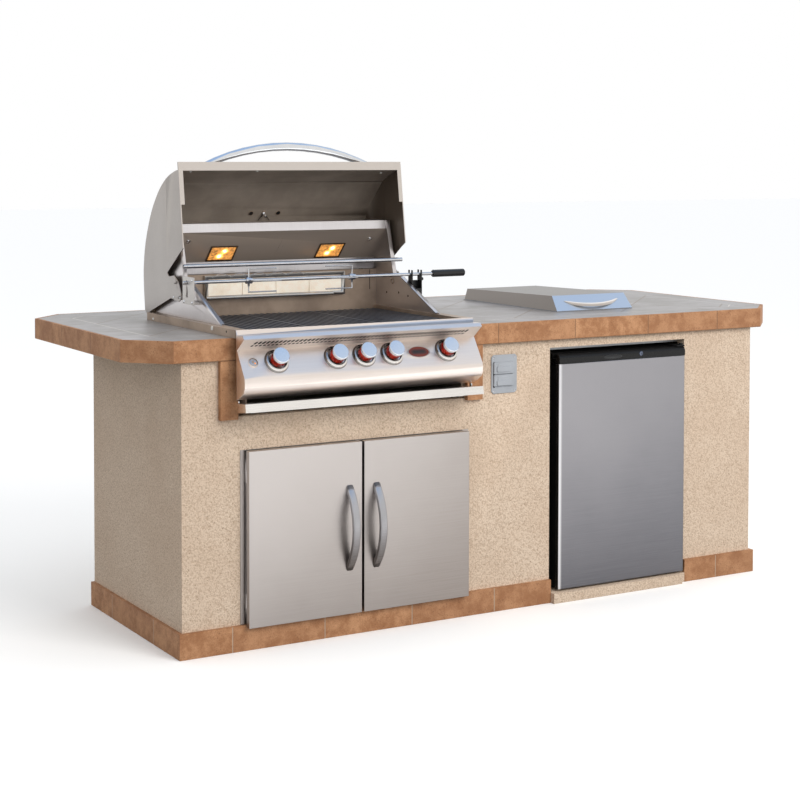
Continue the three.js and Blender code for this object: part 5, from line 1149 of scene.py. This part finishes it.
dress(finish("fridge_door_steel", paint_fridge_door), "fridge_door", width=2.0, crease=20)
dress(finish("door_cap", paint_cap), "fridge_door_cap", width=0.9)
wear(finish("fridge_cabinet", paint_fridge), "fridge_cabinet")
wear(finish("door_liner", paint_door_liner), "fridge_door_liner")

# %% Lock, oval place, seal and racks
CAP_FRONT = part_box("fridge_door_cap")[0].y
LOCK, OVAL = (Spot((at(x, 0, 0)[0], CAP_FRONT, z)) for x, z in ((1635.6, 0.7864), (1519, 0.7826)))
lock_profile = [(0, -1), (7.4, -1), (7.4, 1.2), (6.6, 1.9), (5.4, 1.9), (5.2, 1.0), (0, 1.0)]
LOCK_METAL = finish("lock_metal", brushed((88, 94, 110), (120, 126, 142), 0.25))
rounds("door_lock", [LOCK], lock_profile, LOCK_METAL, "fridge_door", 28)
# The key slit is a dark plate of painted shade.
plates("lock_slit", [LOCK], [bar(1.4, 6)], (0.9, 1.2), DARK_SLOT, "fridge_door")
rings("cap_oval_rim", [OVAL], (6.6, 0.2), (0.9, 0.9), BLACK_PLASTIC, "fridge_door", 40, 5.1)
rounds("cap_oval", [OVAL], [(0, -0.5), (6, -0.5), (6, 0.2), (3, 0.4), (0, 0.5)],
       finish("cap_oval", moulded((12, 12, 14), 0.08)), "fridge_door", 40, 5.4)

SEAL = 9
wide, _, tall = (LINER_HIGH - LINER_LOW) / MM
liner_middle = (LINER_LOW + LINER_HIGH) / 2
LINER_BACK = Spot((liner_middle.x, LINER_HIGH.y, liner_middle.z), BACK, -X)
seals = []
for side in (-1, 1):
    upright = rounded(SEAL, tall - SEAL, 2) + ((wide / 2 - SEAL) * side, 0)
    level = rounded(wide - SEAL, SEAL, 2) + (0, (tall / 2 - SEAL) * side)
    seals.append(outline_plate(LINER_BACK, upright, -0.5, 0.8, 0.3))
    seals.append(outline_plate(LINER_BACK, level, -0.5, 0.75, 0.3))
skin("door_seal", seals, GASKET, "fridge_door")

SHELF_X, HEIGHTS = 1564.5, (190, 400, 600)
hoop = ((-190, -18), (-190, 12), (190, 12), (190, -18))
skin("door_racks", [wire([at(SHELF_X + x, 44 + y, z) for x, y in hoop], 2.2, 8, 60)
                    for z in HEIGHTS], BRIGHT_WIRE, "fridge_door", crease=70)
plates("door_shelves", [Spot(at(SHELF_X, 38, z - 60), TOP) for z in HEIGHTS],
       [rounded(380, 26, 3) + (0, 4)], (0, 4), PALE_PLASTIC, "fridge_door", 1)
print("the door's liner is", round(wide), "by", round(tall), "mm")

# %% [markdown]
# ## The outlet
# A grey weatherproof plate with two spring lids. It is held by a screw in each corner, and the
# lids' hinges show as dark knuckles. Behind each lid is a plain socket, whose openings are three
# small dark plates of painted shade, and each lid has a tab to lift it by and a raised boss.

# %% Outlet
dress(GREY_PLASTIC, "outlet_plate", "outlet_lid_upper", "outlet_lid_lower", width=0.6)
PLATE_LOW, PLATE_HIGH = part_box("outlet_plate")
plate_middle = (PLATE_LOW + PLATE_HIGH) / 2
OUTLET = Spot((plate_middle.x, PLATE_LOW.y, plate_middle.z))
screws = [OUTLET.moved(x, z) for x in (-40, 40) for z in (-53, 53)]
heads("outlet_screws", screws, 3.2, 1.4, BRIGHT_WIRE)
# The screw slots are dark plates of painted shade.
plates("outlet_screw_slots", screws, [bar(5.2, 0.8)], (1.2, 1.6), DARK_SLOT)
plates("outlet_knuckles", [OUTLET.moved(-39.5, z) for z in (35.5, -1.6, -38)],
       [rounded(3.4, 6, 1.2)], (-0.3, 4.4), DARK_SLOT, inset=0.5)
# The socket openings are dark plates of painted shade.
sockets = [Spot(at(1096, -3, 751 + z)) for z in (19.5, -19.5)]
plates("socket_slots", sockets, [rounded(1.9, 7, 0.6) + (x, 0) for x in (-6, 6)], (-0.3, 0.2),
       DARK_SLOT)
plates("socket_grounds", sockets, [rounded(4, 4, 1.8) + (16, 0)], (-0.3, 0.2), DARK_SLOT)
for lid, boss_level in (("outlet_lid_upper", -3.5), ("outlet_lid_lower", -7.7)):
    low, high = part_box(lid)
    level = (low.z + high.z) / 2
    tab_spot = Spot((high.x, low.y + 2.4 * MM, level))
    plates(f"{lid}_tab", [tab_spot], [rounded(6, 14, 2.4) + (-1, 0)], (-2, 1.2), GREY_PLASTIC,
           lid, 0.5)
    boss_spot = Spot((at(1094, 0, 0)[0], low.y, level))
    plates(f"{lid}_boss", [boss_spot], [rounded(52, 16, 4) + (0, boss_level)], (-1, 1.6),
           GREY_PLASTIC, lid, 0.8)

# %% [markdown]
# ## The walls' skin
# The four walls are separate boards with hairline gaps, but the stucco over them is one coat.
# Copies of the walls are closed up along those gaps, and one skin of stucco stands for all four.

# %% One coat of stucco
WALLS = ("front_wall", "left_wall", "right_wall", "back_wall")
GAP = 0.6 * MM
coat = bmesh.new()
for wall in WALLS:
    coat.from_mesh(NODES[wall].data)
bmesh.ops.remove_doubles(coat, verts=coat.verts, dist=MERGE)
coat_mesh = bpy.data.meshes.new("stucco_coat")
coat.to_mesh(coat_mesh)
coat.free()
points = np.empty(3 * len(coat_mesh.vertices))
coat_mesh.vertices.foreach_get("co", points)
depths = points[1::3]
for level in (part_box("front_wall")[1].y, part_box("back_wall")[0].y):
    depths[abs(depths - level) < GAP] = level
coat_mesh.vertices.foreach_set("co", points)
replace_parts(settle(coat_mesh, STUCCO, "island", 30), *WALLS)

# %% [markdown]
# ## Rollers of the drip tray
# A small roller at each end of the panel guides the drip tray. It is a hub and a wheel, so one
# profile turned about its axis gives both.

# %% Rollers
roller = [(0, 0), (2.2, 0), (2.2, 1.0), (5.2, 1.0), (5.6, 1.6), (5.6, 4.4), (5.2, 5), (0, 5)]
rounds("tray_rollers", [left_spot(x, -40, 731) for x in (162, 953)], roller, CHROME, "drip_tray",
       24)

# %% [markdown]
# ## Light and floor
# A wide soft lamp in front and to the right gives the fronts their brightness and leaves the left
# end in shade, as in the photograph. The sky is plain and pale, and a little brighter on the
# right. Steel mirrors it, so the rays that metal sends out find a sky that is white at the horizon
# and blue overhead, while the camera sees plain white.

# %% Stage
FLOOR_LEVEL, FLOOR_REACH = CAD_BOX[0].z - 0.5 * MM, 40
KEY_ENERGY, SIDE_FALL, FLOOR_BOUNCE = 205, 0.3, 0.35
WHITE = (1, 1, 1, 1)

floor_mesh = bpy.data.meshes.new("floor")
floor_mesh.from_pydata([(x, y, FLOOR_LEVEL) for x, y in bar(2 * FLOOR_REACH, 2 * FLOOR_REACH)],
                       [], [(0, 1, 2, 3)])
floor = bpy.data.objects.new("floor", floor_mesh)
bpy.context.scene.collection.objects.link(floor)


def rays(field, *kinds):
    """1 for rays of any of these kinds."""
    return reduce(Field.larger, [field.node("ShaderNodeLightPath", output=f"Is {kind} Ray")
                                 for kind in kinds])


def shown(field):
    """1 for the rays that show a background: the camera's, and those of metal and glass."""
    return rays(field, "Camera", "Glossy", "Transmission")


def paint_floor(place, facing):
    grey = (FLOOR_BOUNCE, FLOOR_BOUNCE, FLOOR_BOUNCE, 1)
    return {"Base Color": shown(place).blend(grey, WHITE), "Roughness": 1.0,
            "Specular IOR Level": 0.0}


floor_mesh.materials.append(finish("floor", paint_floor))

world = bpy.data.worlds.new("sky")
world.use_nodes = True
bpy.context.scene.world = world
sky = Field(world.node_tree)
rightward, _, upward = sky.node("ShaderNodeTexCoord", output="Generated").parts()
seen = upward.ramp((0.5, (1.0, 0.985, 0.96, 1)), (0.62, (0.93, 0.96, 1.0, 1)),
                   (0.8, (0.55, 0.72, 0.98, 1)), (1.0, (0.42, 0.60, 0.92, 1)))
reflected = shown(sky).blend((0.97, 0.985, 1.0, 1), seen)
colour = rays(sky, "Camera").blend(reflected, WHITE)
strength = 1 + rightward * SIDE_FALL * (1 - shown(sky))
background = world.node_tree.nodes["Background"]
world.node_tree.links.new(colour.socket, background.inputs["Color"])
world.node_tree.links.new(strength.socket, background.inputs["Strength"])

# %% Lamp
LAMP_PLACE, LAMP_AIM, LAMP_SIZE = Vector((1.2, -5.4, 3.6)), Vector((0, 0, 0.6)), 3.0
light = bpy.data.lights.new("key", "AREA")
light.size, light.energy, light.color = LAMP_SIZE, KEY_ENERGY, (1.0, 0.97, 0.93)
lamp = bpy.data.objects.new("key", light)
bpy.context.scene.collection.objects.link(lamp)
lamp.location = LAMP_PLACE
lamp.visible_glossy = False
lamp.rotation_euler = (LAMP_AIM - LAMP_PLACE).to_track_quat("-Z", "Y").to_euler()

# %% Looks of the picture
bpy.context.scene.view_settings.view_transform = "Standard"
